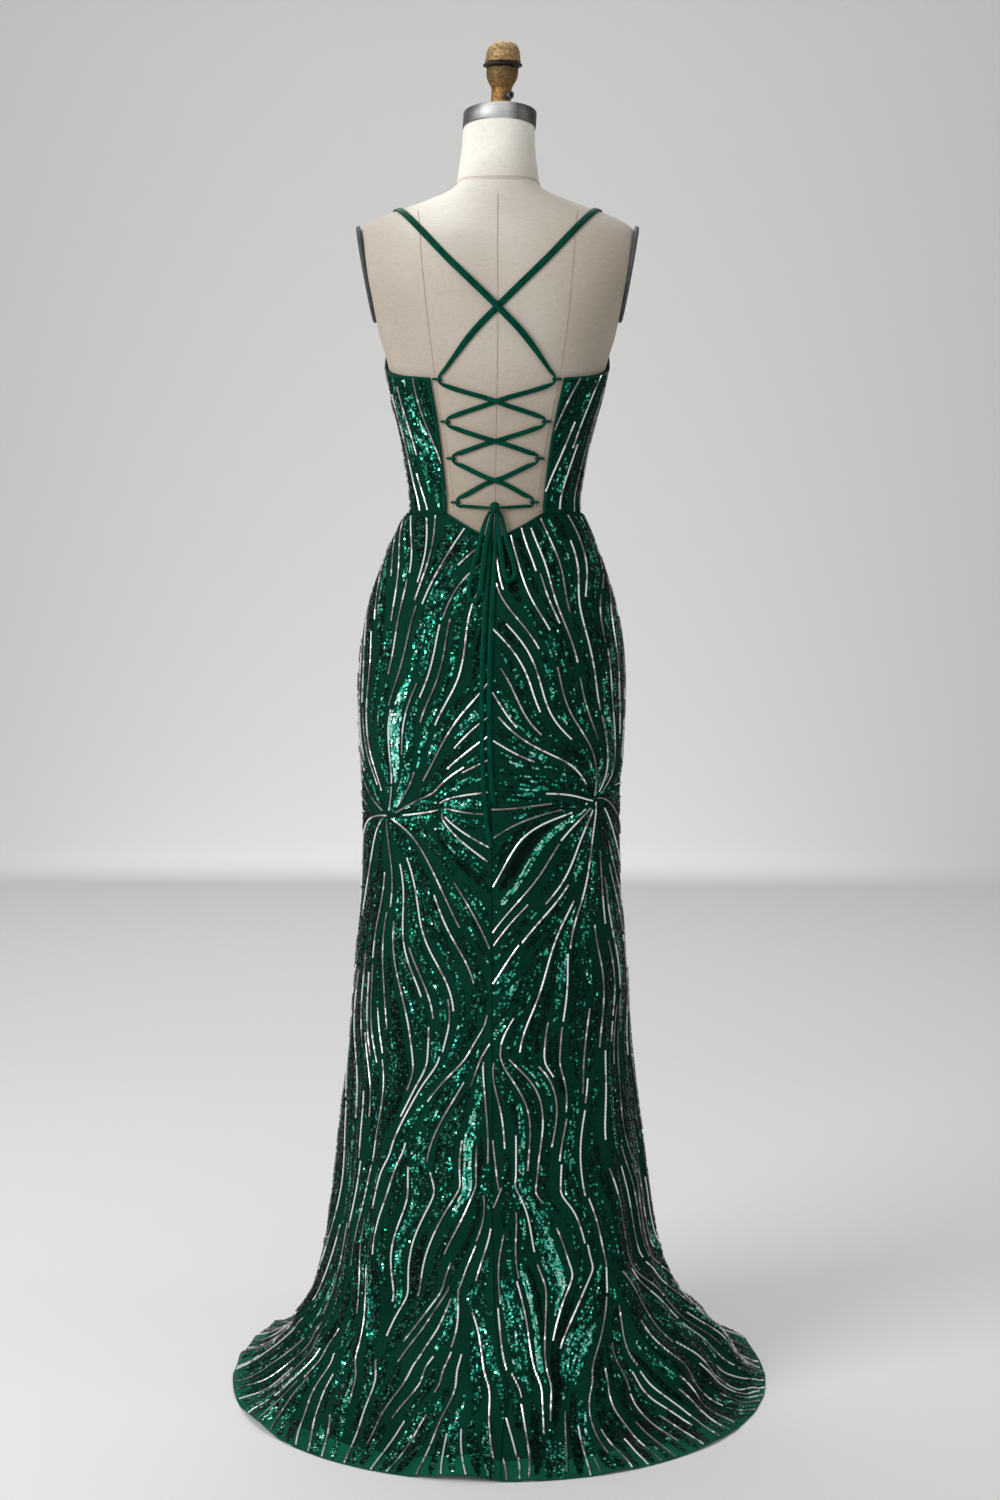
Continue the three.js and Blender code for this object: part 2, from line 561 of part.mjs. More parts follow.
function makeStand() {
  const foot = turned(FOOT, 40);
  const bottom = FOOT.at(-1).z + SEAM_GAP;
  const top = FORM[0].z - SEAM_GAP;
  const pole = new THREE.CylinderGeometry(POLE_RADIUS, POLE_RADIUS, top - bottom, 20);
  pole.rotateX(Math.PI / 2).translate(0, 0, (top + bottom) / 2);
  addPiece("stand_foot", foot, BLACK_IRON);
  addPiece("stand_pole", pole, STEEL);
}

// The outer face of the bodice at an angle and height.
function bodicePoint(angle, z) {
  return sectionPoint(formAt(z), angle, BODICE_EASE + BODICE_WALL);
}

function bodiceTop(angle) {
  return tableAt(BODICE_TOP, "angle", angle > 180 ? 360 - angle : angle).z;
}

// The back panel at a share across it, from the laced edge to the side seam, and down it.
function backPanelPoint(a, b) {
  const top = bodiceTop(THREE.MathUtils.lerp(30, 90, a));
  const z = THREE.MathUtils.lerp(top, WAIST_Z + SEAM_GAP / 2, b);
  const edge = angleOfX(formAt(z), tableAt(OPENING, "z", z).edge);
  return bodicePoint(THREE.MathUtils.lerp(edge, 90, a), z);
}

function frontPanelPoint(a, b) {
  const angle = 90 + 180 * a;
  return bodicePoint(angle, THREE.MathUtils.lerp(bodiceTop(angle), WAIST_Z + SEAM_GAP / 2, b));
}

// The same geometry on the other side of the body.
function mirrored(geometry) {
  const copy = geometry.clone();
  copy.scale(-1, 1, 1);
  const faces = Array.from(copy.index.array);
  for (let i = 0; i < faces.length; i += 3) [faces[i + 1], faces[i + 2]] = [faces[i + 2], faces[i + 1]];
  copy.setIndex(faces);
  return copy;
}

function addPair(name, geometry, finish) {
  addPiece(name + "_left", geometry, finish);
  addPiece(name + "_right", mirrored(geometry), finish);
}

// Part of a panel's face, moved out to lie on it: the panel's own shares, cut down to a window.
function strip(point, { from, to }, across, down) {
  return clothWall({
    across: shares(across),
    down: shares(down),
    point: (a, b) =>
      point(THREE.MathUtils.lerp(from.a, to.a, a), THREE.MathUtils.lerp(from.b, to.b, b)),
    wall: BINDING_WALL,
    lift: BINDING_WALL + 2 * SEAM_GAP,
    trim: 0,
  });
}

function makeBodice() {
  const back = clothWall({ across: shares(8), down: shares(7), point: backPanelPoint, wall: BODICE_WALL });
  addPair("bodice_back", back, SEQUIN_GREEN);
  const front = clothWall({ across: shares(20), down: shares(13), point: frontPanelPoint, wall: BODICE_WALL });
  addPiece("bodice_front", front, SEQUIN_GREEN);
  const edgeShare = BINDING_WIDTH / 68;
  const topShare = BINDING_WIDTH / 170;
  const laced = strip(backPanelPoint, { from: { a: 0, b: 0 }, to: { a: edgeShare, b: 1 } }, 1, 7);
  addPair("binding_laced", laced, SATIN_GREEN);
  const startShare = edgeShare * 1.15; // clear of the strip down the laced edge
  const top = strip(backPanelPoint, { from: { a: startShare, b: 0 }, to: { a: 0.995, b: topShare } }, 7, 1);
  addPair("binding_back", top, SATIN_GREEN);
  const neck = strip(frontPanelPoint, { from: { a: 0.002, b: 0 }, to: { a: 0.998, b: topShare } }, 20, 1);
  addPiece("binding_front", neck, SATIN_GREEN);
}

// How far the folds lift the skirt off its smooth form.
function foldAt(angle, down) {
  const begin = THREE.MathUtils.smoothstep(down, FOLD_START, FOLD_FULL);
  const end = 1 - THREE.MathUtils.smoothstep(down, FOLD_FADE, FOLD_END);
  let height = 0;
  for (const fold of FOLDS) {
    const away = ((angle - fold.angle + 540) % 360) - 180;
    height += fold.height * Math.exp(-((away / fold.spread) ** 2));
  }
  return height * begin * end;
}

// The top edge of the skirt: level at the waist seam, and dipping to a point at the centre back.
function skirtTopZ(x, isBack) {
  const corner = tableAt(OPENING, "z", WAIST_Z).edge;
  if (!isBack || Math.abs(x) > corner) return WAIST_Z - SEAM_GAP / 2;
  return THREE.MathUtils.lerp(V_POINT_Z, WAIST_Z - SEAM_GAP / 2, Math.abs(x) / corner);
}

// The outer face of the skirt at an angle and a distance down the cloth.
function skirtPoint(angle, down) {
  const smooth = (turn, along) => sectionPoint(tableAt(SKIRT, "down", along), turn);
  const p = smooth(angle, down);
  const step = 0.5;
  const around = smooth(angle + step, down).sub(smooth(angle - step, down));
  const along = smooth(angle, Math.min(down + step, SKIRT_HEM)).sub(smooth(angle, Math.max(down - step, 0)));
  return p.addScaledVector(around.cross(along).normalize(), foldAt(angle, down));
}

// A panel of the skirt between two angles. Its rows are those of SKIRT_ROWS, and the first of them
// are moved down where the back dips.
function skirtPanel(fromAngle, toAngle, columns, isBack) {
  const dipRows = 5; // rows above the hip, which take up the dip
  const reach = SKIRT_ROWS[dipRows];
  const point = (a, b) => {
    const angle = THREE.MathUtils.lerp(fromAngle, toAngle, a);
    const along = b * SKIRT_HEM;
    const topX = skirtPoint(angle, 0).x;
    const dip = skirtTopZ(topX, isBack);
    const start = tableAt(skirtByHeight, "z", dip).down;
    const lowered = along < reach ? THREE.MathUtils.lerp(start, reach, along / reach) : along;
    return skirtPoint(angle, lowered);
  };
  return clothWall({
    across: shares(columns),
    down: SKIRT_ROWS.map((down) => down / SKIRT_HEM),
    point,
    wall: NET_WALL,
  });
}

function makeSkirt() {
  addPiece("skirt_back_left", skirtPanel(0, 90, BACK_SKIRT_COLUMNS, true), SEQUIN_GREEN);
  addPiece("skirt_back_right", skirtPanel(-90, 0, BACK_SKIRT_COLUMNS, true), SEQUIN_GREEN);
  addPiece("skirt_front", skirtPanel(90, 270, FRONT_SKIRT_COLUMNS, false), SEQUIN_GREEN);
}

// The lining, built where it shows through the net of the train, just inside the skirt.
function makeLining() {
  const top = LINING_ROWS[0];
  const hem = LINING_ROWS.at(-1);
  const back = shares(BACK_SKIRT_COLUMNS).map((a) => a / 4);
  const front = shares(FRONT_SKIRT_COLUMNS).map((a) => 0.25 + a / 2);
  const lining = clothWall({
    across: [...back, ...front.slice(1), ...back.slice(1).map((a) => 0.75 + a)],
    down: LINING_ROWS.map((down) => (down - top) / (hem - top)),
    point: (a, b) => skirtPoint(360 * a, THREE.MathUtils.lerp(top, hem, b)),
    wall: LINING_WALL,
    lift: -(NET_WALL + 0.35),
    trim: SEAM_GAP / 2,
  });
  addPiece("lining_train", lining, LINING_GREEN);
}

const openingEdge = (z) => tableAt(OPENING, "z", z).edge - SEAM_GAP;
const insideLoop = (z) => openingEdge(z) - LOOP_LENGTH + LOOP_BAND.thickness / 2 + 0.4 + PINCHED_WIDTH / 2;

// A strap runs from the top of a cup over the shoulder, crosses the other one to the far side's top loop,
// and goes on as the lace that zigzags down the open back to the knot. rank is 1 for the one that lies on
// top at the shoulder blades, and the two take turns below.
function laceRoute(rank) {
  const lifts = rank === 1 ? [OVER_LIFT, UNDER_LIFT] : [UNDER_LIFT, OVER_LIFT];
  const rest = UNDER_LIFT;
  const route = [
    { x: 90, y: -118, z: 1341, lift: rest, width: STRAP_WIDTH },
    { x: 98, y: -92, z: 1385, lift: rest, width: STRAP_WIDTH },
    { x: 110, y: -62, z: 1430, lift: rest, width: STRAP_WIDTH },
    { x: 120, y: -34, z: 1464, lift: rest, width: STRAP_WIDTH },
    { x: 126, y: -8, z: 1478, lift: rest, width: STRAP_WIDTH },
    { x: 123, y: 15, z: 1477, lift: rest, width: STRAP_WIDTH },
    { x: 114, y: 35, z: 1470, lift: rest, width: STRAP_WIDTH },
    { x: 96, y: 57, z: 1452, lift: rest, width: STRAP_WIDTH },
    { x: 61.5, y: 80, z: 1414.3, lift: rest, width: STRAP_WIDTH },
    { x: 30.4, y: 88.4, z: 1384, lift: lifts[0], width: STRAP_WIDTH },
    { x: 0, y: 91, z: 1354.5, lift: lifts[0], width: STRAP_WIDTH },
    { x: -30.4, y: 90, z: 1323, lift: lifts[0], width: STRAP_WIDTH },
    { x: -insideLoop(LOOP_HEIGHTS[0]) + 5, y: 84, z: LOOP_HEIGHTS[0] + 10, lift: LOOP_LIFT, width: 5 },
  ];
  LOOP_HEIGHTS.forEach((height, i) => {
    const side = i % 2 === 0 ? -1 : 1;
    const x = insideLoop(height);
    route.push(
      { x: side * x, y: 80, z: height + TURN, lift: LOOP_LIFT, width: PINCHED_WIDTH },
      { x: side * x, y: 80, z: height - TURN, lift: LOOP_LIFT, width: PINCHED_WIDTH },
    );
    if (i === LOOP_HEIGHTS.length - 1) return;
    const next = LOOP_HEIGHTS[i + 1];
    const level = (t) => THREE.MathUtils.lerp(height - TURN - 1, next + TURN + 1, t);
    const lift = lifts[(i + 1) % 2];
    route.push(
      { x: side * (x - 14), y: 80, z: level(0.12), lift: LOOP_LIFT, width: LACE_WIDTH },
      { x: side * 11, y: 80, z: level(0.42), lift, width: LACE_WIDTH },
      { x: -side * 11, y: 80, z: level(0.6), lift, width: LACE_WIDTH },
      { x: -side * (insideLoop(next) - 12), y: 80, z: level(0.9), lift: LOOP_LIFT, width: LACE_WIDTH },
    );
  });
  const last = LOOP_HEIGHTS.at(-1);
  route.push(
    { x: insideLoop(last) - 10, y: 76, z: last - 5, lift: LOOP_LIFT, width: 4.2 },
    { x: 22, y: 76, z: last - 6.5, lift: LOOP_LIFT + 0.6, width: 4.2 },
    { x: KNOT.halfWidth + SEAM_GAP, y: 76, z: KNOT.z, lift: KNOT.lift, width: 3.4 },
  );
  return route;
}

function makeStraps() {
  const shape = { thickness: LACE_THICKNESS, steps: 2, sides: 6 };
  addPiece("strap_lace_left", tubeOnSurface(formAt, laceRoute(1), shape), SATIN_GREEN);
  addPiece("strap_lace_right", mirrored(tubeOnSurface(formAt, laceRoute(2), shape)), SATIN_GREEN);
}

// A band that leaves the laced edge, goes round the lace and comes back behind it.
function laceLoop(height) {
  const edge = openingEdge(height);
  const inner = LOOP_LIFT - LACE_THICKNESS / 2 - LOOP_BAND.thickness / 2 - 0.35;
  const outer = LOOP_LIFT + LACE_THICKNESS / 2 + LOOP_BAND.thickness / 2 + 0.35;
  const path = [
    { out: 0, lift: LOOP_LIFT + 0.8 },
    { out: LOOP_LENGTH * 0.35, lift: outer - 0.3 },
    { out: LOOP_LENGTH * 0.6, lift: outer },
    { out: LOOP_LENGTH * 0.9, lift: outer },
    { out: LOOP_LENGTH, lift: LOOP_LIFT + 0.8 },
    { out: LOOP_LENGTH, lift: LOOP_LIFT - 0.8 },
    { out: LOOP_LENGTH * 0.9, lift: inner },
    { out: LOOP_LENGTH * 0.6, lift: inner },
    { out: LOOP_LENGTH * 0.35, lift: inner },
    { out: 0, lift: LOOP_LIFT - 0.8 },
  ];
  const up = new THREE.Vector3(0, 0, 1);
  const points = path.map((row) => onSurface(formAt, new THREE.Vector3(edge - row.out, 80, height), row.lift));
  const normals = points.map((p, i) => {
    const along = points[Math.min(i + 1, points.length - 1)].clone().sub(points[Math.max(i - 1, 0)]);
    return up.clone().cross(along).normalize();
  });
  return flatTube(points, normals, points.map(() => LOOP_BAND.width), LOOP_BAND.thickness, 4);
}

function makeLoops() {
  LOOP_HEIGHTS.forEach((height, i) => addPair("lace_loop_" + (i + 1), laceLoop(height), SATIN_GREEN));
}

// The laces' knot, the bow's two loops and the two long tails that hang over the skirt.
function makeBow() {
  const place = onSurface(formAt, new THREE.Vector3(0, 74, KNOT.z), KNOT.lift);
  const knot = new THREE.SphereGeometry(1, 12, 8).scale(KNOT.halfWidth, KNOT.halfDepth, KNOT.halfHeight);
  addPiece("bow_knot", knot.translate(place.x, place.y, place.z), SATIN_GREEN);
  const shape = { thickness: BOW_THICKNESS, steps: 2, sides: 6 };
  const cords = { bow_loop_left: BOW_LOOP_LEFT, bow_loop_right: BOW_LOOP_RIGHT };
  Object.assign(cords, { bow_tail_left: TAIL_LEFT, bow_tail_right: TAIL_RIGHT });
  for (const [name, places] of Object.entries(cords)) {
    const route = places.map((row) => ({ ...row, y: skirtAtHeight(row.z).back }));
    addPiece(name, tubeOnSurface(skirtAtHeight, route, shape), SATIN_GREEN);
  }
}

makeStraps();
makeLoops();
makeBow();
makeStand();
makeTorso();
makeArmPlates();
makeNeckAndCap();
makeKnob();
makeBodice();
makeSkirt();
makeLining();

// Moves every piece but the stand sideways by the lean at its height.
for (const mesh of model.children) {
  if (UPRIGHT.includes(mesh.name)) continue;
  const places = mesh.geometry.getAttribute("position");
  for (let i = 0; i < places.count; i += 1) {
    places.setX(i, places.getX(i) + tableAt(LEAN, "z", Math.max(places.getZ(i), 0)).shift);
  }
}

export default model;
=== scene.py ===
# Evening gown on a dress form: sequinned net over a green lining, satin straps and laces, a linen form
# with a steel neck cap and a brass knob. Sizes are in millimetres up to the meshes, which are in metres.
# Angles round the body are in degrees from the centre back towards +X, the gown's left side.
import math
import bpy
import numpy as np
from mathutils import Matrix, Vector


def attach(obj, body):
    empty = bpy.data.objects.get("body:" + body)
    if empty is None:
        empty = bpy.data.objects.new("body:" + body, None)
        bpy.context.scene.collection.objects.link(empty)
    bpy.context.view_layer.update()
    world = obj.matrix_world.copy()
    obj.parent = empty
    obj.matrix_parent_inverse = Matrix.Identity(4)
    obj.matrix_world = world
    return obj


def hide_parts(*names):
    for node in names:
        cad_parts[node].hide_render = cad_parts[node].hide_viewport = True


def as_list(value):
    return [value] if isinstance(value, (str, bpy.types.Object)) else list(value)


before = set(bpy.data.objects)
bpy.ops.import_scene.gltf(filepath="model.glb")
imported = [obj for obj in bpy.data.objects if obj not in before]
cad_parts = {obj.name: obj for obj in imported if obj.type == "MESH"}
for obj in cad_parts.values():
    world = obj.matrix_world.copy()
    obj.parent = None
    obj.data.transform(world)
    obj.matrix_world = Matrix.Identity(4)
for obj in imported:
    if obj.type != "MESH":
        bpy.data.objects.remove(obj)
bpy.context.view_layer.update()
MM = 0.001

# Sizes shared with the part's source
NET_WALL = 1.4
BODICE_WALL = 1.6
LINING_WALL = 1.0
BINDING_THICKNESS = 1.6
BODICE_EASE = 1.7
SEAM_GAP = 0.3
WAIST_Z = 1106
V_POINT_Z = 1073
SKIRT_HEM = 1262
LINING_HEM = 1186
LINING_TOP = 1072
STRAP_WIDTH = 8.4
LACE_WIDTH = 6
PINCHED_WIDTH = 3.2
LACE_THICKNESS = 1.8
BOW_THICKNESS = 2.2
LOOP_HEIGHTS = [1268, 1216, 1171, 1120]
LOOP_LENGTH = 12
LOOP_WIDTH = 3
LOOP_THICKNESS = 0.9
UNDER_LIFT = 1.7
OVER_LIFT = 4.3
LOOP_LIFT = 2.4
TURN = 3.6
KNOT = {"z": 1112, "width": 6.5, "height": 7, "depth": 5.5, "lift": 7.2}
ARM_PLANE = {"x": 167.5, "z": 1445, "lean": 0.178}
ARM_PLATE = {"z": 1400, "y": 3, "height": 60, "width": 44, "thickness": 5}
KNOB_Z = 1597.1
KNOB_Y = -7.5


def columns(names, rows):
    """A table with named columns, each an array."""
    return {name: np.array(values, float) for name, values in zip(names.split(), zip(*rows))}


OPENING = columns("z edge", [(1100, 58), (1120, 58), (1174, 63.5), (1218, 70), (1275, 81)])
BODICE_TOP = columns("angle z", [
    (30, 1270), (60, 1275), (90, 1286), (102, 1299), (120, 1322), (136, 1338), (152, 1318), (168, 1268),
    (180, 1232)])
FORM = columns("z side back front back_round front_round tip dip", [
    (800, 160.5, 118, 97.5, 2.2, 2.2, 0, 0),
    (870, 164, 120.6, 99, 2.2, 2.2, 0, 0),
    (921, 162.5, 118.5, 99.5, 2.2, 2.2, 0, 0),
    (972, 155.4, 111, 98.5, 2.2, 2.2, 0, 0),
    (1022, 142, 98.5, 96, 2.15, 2.2, 0, 0),
    (1072, 122, 84, 92.5, 2.15, 2.2, 0, 0),
    (1098, 106.5, 75.5, 89, 2.2, 2.2, 0, 0),
    (1120, 102.6, 72, 88, 2.25, 2.2, 0, 0),
    (1146, 105.3, 72.5, 92, 2.3, 2.2, 0, 0),
    (1196, 114.2, 78, 109.5, 2.35, 2.3, 0, 0),
    (1246, 127, 84, 125, 2.4, 2.4, 0, 0),
    (1297, 138, 89, 122.5, 2.4, 2.4, 0, 0),
    (1344, 154.5, 91, 104, 2.4, 2.3, 0, 0),
    (1393, 176, 88, 80, 2.4, 2.3, 0, 0),
    (1418, 180, 82, 68, 2.35, 2.3, 0.03, 0.0005),
    (1445, 174, 69, 54, 2.25, 2.2, 0.06, 0.0012),
    (1459, 162, 61, 46, 2.15, 2.1, 0.1, 0.002),
    (1472, 135, 54.5, 40, 2.05, 2.05, 0.17, 0.0032),
    (1484, 96, 50, 37, 2, 2, 0.28, 0.0045),
    (1495, 64, 46, 37, 2, 2, 0.42, 0.0062),
    (1504, 51.5, 43, 38.5, 2, 2, 0.5, 0.0072)])
NECK = columns("z side back front back_round front_round tip dip", [
    (1504.4, 51.5, 43, 38.5, 2, 2, 0.5, 0.0072),
    (1525, 49, 40, 42, 2, 2, 0.42, 0.004),
    (1550, 45.6, 37, 46, 2, 2, 0.32, 0.001),
    (1577, 44.2, 36, 51, 2, 2, 0.25, 0)])
SKIRT = columns("down z side back front back_round front_round", [
    (0, 1106, 109.5, 76, 92, 2.2, 2.2),
    (13, 1094, 115.5, 80, 93.2, 2.2, 2.2),
    (37, 1072, 126, 87.2, 96, 2.15, 2.2),
    (91, 1022, 145.2, 101.6, 99.2, 2.15, 2.2),
    (143, 972, 158.4, 114, 101.6, 2.2, 2.2),
    (194, 921, 165.6, 121.6, 102.6, 2.2, 2.2),
    (245, 870, 167, 123.8, 102.2, 2.2, 2.2),
    (295, 820, 165.4, 122.4, 101.6, 2.2, 2.2),
    (371, 744, 162, 120.2, 103.4, 2.2, 2.2),
    (473, 642, 162.4, 122.6, 109.4, 2.2, 2.2),
    (577, 539, 169.4, 130.6, 119.4, 2.2, 2.2),
    (680, 436, 175, 142.4, 131.6, 2.15, 2.2),
    (785, 332, 185.5, 157.4, 146.4, 2.15, 2.15),
    (891, 227, 197, 176.6, 164.4, 2.1, 2.15),
    (946, 174, 205.5, 189.4, 177, 2.1, 2.15),
    (1002, 122, 221.5, 207, 197, 2.1, 2.15),
    (1033, 95, 235, 221, 212, 2.1, 2.15),
    (1062, 70, 254, 236, 226, 2.1, 2.2),
    (1090, 47, 272, 254, 242, 2.05, 2.2),
    (1117, 28, 288, 274, 260, 2.05, 2.2),
    (1145, 15, 303, 297, 281, 2.05, 2.2),
    (1176, 8.5, 317, 323, 303, 2.05, 2.2),
    (1206, 5.6, 328, 346, 322, 2.05, 2.2),
    (1236, 3.4, 336, 364, 337, 2.05, 2.2),
    (1262, 1.4, 342, 381, 350, 2.05, 2.2)])
SKIRT_BY_HEIGHT = {name: values[::-1] for name, values in SKIRT.items()}
LEAN = columns("z shift", [
    (0, -5), (28, -9), (62, -15), (85, -7.5), (115, -2), (160, 2), (250, 4), (500, 4.5), (800, 5.5),
    (950, 4.4), (1060, 3), (1110, 0.8), (1200, -0.3), (1300, -2.4), (1450, -2.6), (1560, -4), (1625, -7.5),
    (1690, -10.5)])
FOLDS = columns("angle spread height", [
    (84, 9, 9), (58, 7, 5), (40, 7, 13), (14, 8, 7), (-6, 7, 6), (-27, 8, 6), (-48, 7, 12), (-67, 7, 6),
    (-87, 8, 10), (109, 8, 7), (134, 9, 10), (161, 8, 6), (186, 8, 8), (208, 8, 6), (229, 9, 10),
    (252, 8, 6)])
FOLD_START, FOLD_FULL, FOLD_FADE, FOLD_END = 430, 1000, 1110, 1225

# The bow's loops and tails, as in the part's source
BOW_LOOP_LEFT = columns("x z lift width", [
    (5.6, 1107, 2.9, 3), (9.5, 1099, 3.4, 4.2), (13.5, 1083, 4.6, 6), (18, 1062, 5.2, 6),
    (24, 1035, 5.2, 6), (28, 1014, 5.2, 6), (27, 1003, 5.2, 6), (21, 998.5, 5.2, 6), (15.8, 1007, 5.2, 6),
    (12.4, 1030, 5.2, 6), (9.6, 1061, 5.4, 6), (6.2, 1085, 6.2, 5), (3, 1104.7, 6.4, 3.4)])
BOW_LOOP_RIGHT = columns("x z lift width", [
    (-5.6, 1107, 2.9, 3), (-9.2, 1099, 3.4, 4.2), (-13, 1083, 4.6, 6), (-18.6, 1064, 5.2, 6),
    (-24.6, 1046, 5.2, 6), (-26.6, 1033, 5.2, 6), (-23.4, 1024.5, 5.2, 6), (-17.6, 1024, 5.2, 6),
    (-13.6, 1033.5, 5.2, 6), (-11, 1050, 5.4, 6), (-6.8, 1077, 6.1, 5), (-3, 1104.7, 6.4, 3.4)])
TAIL_LEFT = columns("x z lift width", [
    (2, 1105, 2.8, 3), (3.5, 1080, 1.9, 5.6), (5.5, 1044, 1.7, 6), (7.8, 1002, 1.7, 6), (10.1, 952, 1.7, 6),
    (11.4, 901, 1.7, 6), (11.2, 849, 1.7, 6), (10.1, 799, 1.7, 6), (7.7, 755, 1.7, 6), (4.2, 722, 1.7, 6),
    (0, 699, 1.7, 6)])
TAIL_RIGHT = columns("x z lift width", [
    (-2, 1105, 2.8, 3), (-3.1, 1080, 1.9, 5.6), (-2.4, 1044, 1.7, 6), (-0.6, 1002, 1.7, 6),
    (1.5, 952, 1.7, 6), (2.3, 901, 1.7, 6), (1.9, 849, 1.7, 6), (0.6, 799, 1.7, 6), (-1.7, 769.5, 1.7, 6),
    (-4.7, 749, 1.7, 6)])


# Shapes of the body and the cloth

def table_at(table, key, value):
    """A table's columns at values of its key column, with the part's own smooth curve between rows."""
    keys = table[key]
    value = np.asarray(value, float)
    high = np.clip(np.searchsorted(keys, value), 1, len(keys) - 1)
    low = high - 1
    before = np.maximum(low - 1, 0)
    after = np.minimum(high + 1, len(keys) - 1)
    span = keys[high] - keys[low]
    t = (value - keys[low]) / span
    found = {}
    for name, column in table.items():
        slope_low = (column[high] - column[before]) / (keys[high] - keys[before]) * span
        slope_high = (column[after] - column[low]) / (keys[after] - keys[low]) * span
        found[name] = (
            column[low] * (2 * t**3 - 3 * t**2 + 1)
            + slope_low * (t**3 - 2 * t**2 + t)
            + column[high] * (3 * t**2 - 2 * t**3)
            + slope_high * (t**3 - t**2)
        )
    return found


def section_point(row, angle, grow=0.0):
    """Points of sections at angles, on curves between an ellipse and a rounded box."""
    sine = np.sin(np.radians(angle))
    cosine = np.cos(np.radians(angle))
    behind = cosine >= 0
    depth = np.where(behind, row["back"], row["front"]) + grow
    power = np.where(behind, row["back_round"], row["front_round"])
    x = (row["side"] + grow) * np.sign(sine) * np.abs(sine) ** (2 / power)
    y = depth * np.sign(cosine) * np.abs(cosine) ** (2 / power)
    z = row["z"] + row.get("tip", 0) * y - row.get("dip", 0) * y * y
    return np.stack(np.broadcast_arrays(x, y, z), -1)


def form_at(z):
    return table_at(FORM, "z", np.clip(z, FORM["z"][0], FORM["z"][-1]))


def skirt_at_height(z):
    return table_at(SKIRT_BY_HEIGHT, "z", z)


def angle_of_x(row, x):
    share = np.abs(x) / row["side"]
    return np.degrees(np.arcsin(np.clip(share ** (row["back_round"] / 2), 0, 1)))


def outside(section_at, p):
    """How far points are outside a body: 0 on its surface."""
    row = section_at(p[..., 2])
    for _ in range(4):
        tip = row.get("tip", 0) * p[..., 1] - row.get("dip", 0) * p[..., 1] ** 2
        row = section_at(p[..., 2] - tip)
    behind = p[..., 1] >= 0
    depth = np.where(behind, row["back"], row["front"])
    power = np.where(behind, row["back_round"], row["front_round"])
    return (np.abs(p[..., 0]) / row["side"]) ** power + (np.abs(p[..., 1]) / depth) ** power - 1


def on_surface(section_at, start, lift):
    """Brings points onto a body's surface, then lifts them off along its normals."""
    p = np.array(start, float)
    steps = np.eye(3) * 0.5
    for _ in range(8):
        here = outside(section_at, p)
        normal = np.stack([outside(section_at, p + step) - here for step in steps], -1) / 0.5
        p = p - normal * (here / np.sum(normal**2, -1))[..., None]
    normal = unit(normal)
    return p + normal * np.asarray(lift)[..., None], normal


def unit(vectors):
    """Vectors of length 1 with the same ways."""
    return vectors / np.linalg.norm(vectors, axis=-1, keepdims=True)


def smoothstep(value, low, high):
    t = np.clip((np.asarray(value, float) - low) / (high - low), 0, 1)
    return t * t * (3 - 2 * t)


def wave_sum(seed, terms, ring, most, along):
    """A repeatable soft wave round the gown and down it, between about -1 and 1."""
    random = np.random.default_rng(seed)
    total = 0
    for _ in range(terms):
        turns = random.integers(-most, most + 1)
        total = total + np.sin(turns * ring + random.uniform(-1, 1) * along + random.uniform(0, 6.28))
    return total / math.sqrt(terms)


def skirt_point(angle, down, fine=True):
    """The outer face of the skirt at angles and distances down the cloth."""
    def smooth(turn, along):
        return section_point(table_at(SKIRT, "down", along), turn)

    angle, down = np.broadcast_arrays(np.asarray(angle, float), np.asarray(down, float))
    around = smooth(angle + 0.5, down) - smooth(angle - 0.5, down)
    along = smooth(angle, np.minimum(down + 0.5, SKIRT_HEM)) - smooth(angle, np.maximum(down - 0.5, 0))
    normal = unit(np.cross(around, along))
    folds = 0
    for turn, spread, height in zip(*FOLDS.values()):
        away = (angle - turn + 540) % 360 - 180
        folds = folds + height * np.exp(-((away / spread) ** 2))
    fold_share = smoothstep(down, FOLD_START, FOLD_FULL) * (1 - smoothstep(down, FOLD_FADE, FOLD_END))
    lift = folds * fold_share
    if fine:
        lift = lift + fine_folds(np.radians(angle), down)
    p = smooth(angle, down) + normal * lift[..., None]
    p[..., 2] = np.maximum(p[..., 2], NET_WALL + 0.1)
    return p


def fine_folds(ring, down):
    """Small folds that the part's source leaves out: ripples where the train lies on the floor."""
    low = smoothstep(down, 980, 1090)
    ripple = np.maximum(wave_sum(5, 8, ring, 20, 0.012 * down), -0.3) * 4.4 * low
    crease = np.maximum(wave_sum(9, 6, ring, 42, 0.02 * down), 0) * 2.6 * low
    soft = wave_sum(3, 5, ring, 9, 0.006 * down) * 2.4 * smoothstep(down, 380, 760)
    return ripple + crease + soft


def lean(points):
    """Moves points sideways by the lean at their height."""
    moved = np.array(points, float)
    moved[..., 0] += table_at(LEAN, "z", np.maximum(moved[..., 2], 0))["shift"]
    return moved


# Meshes

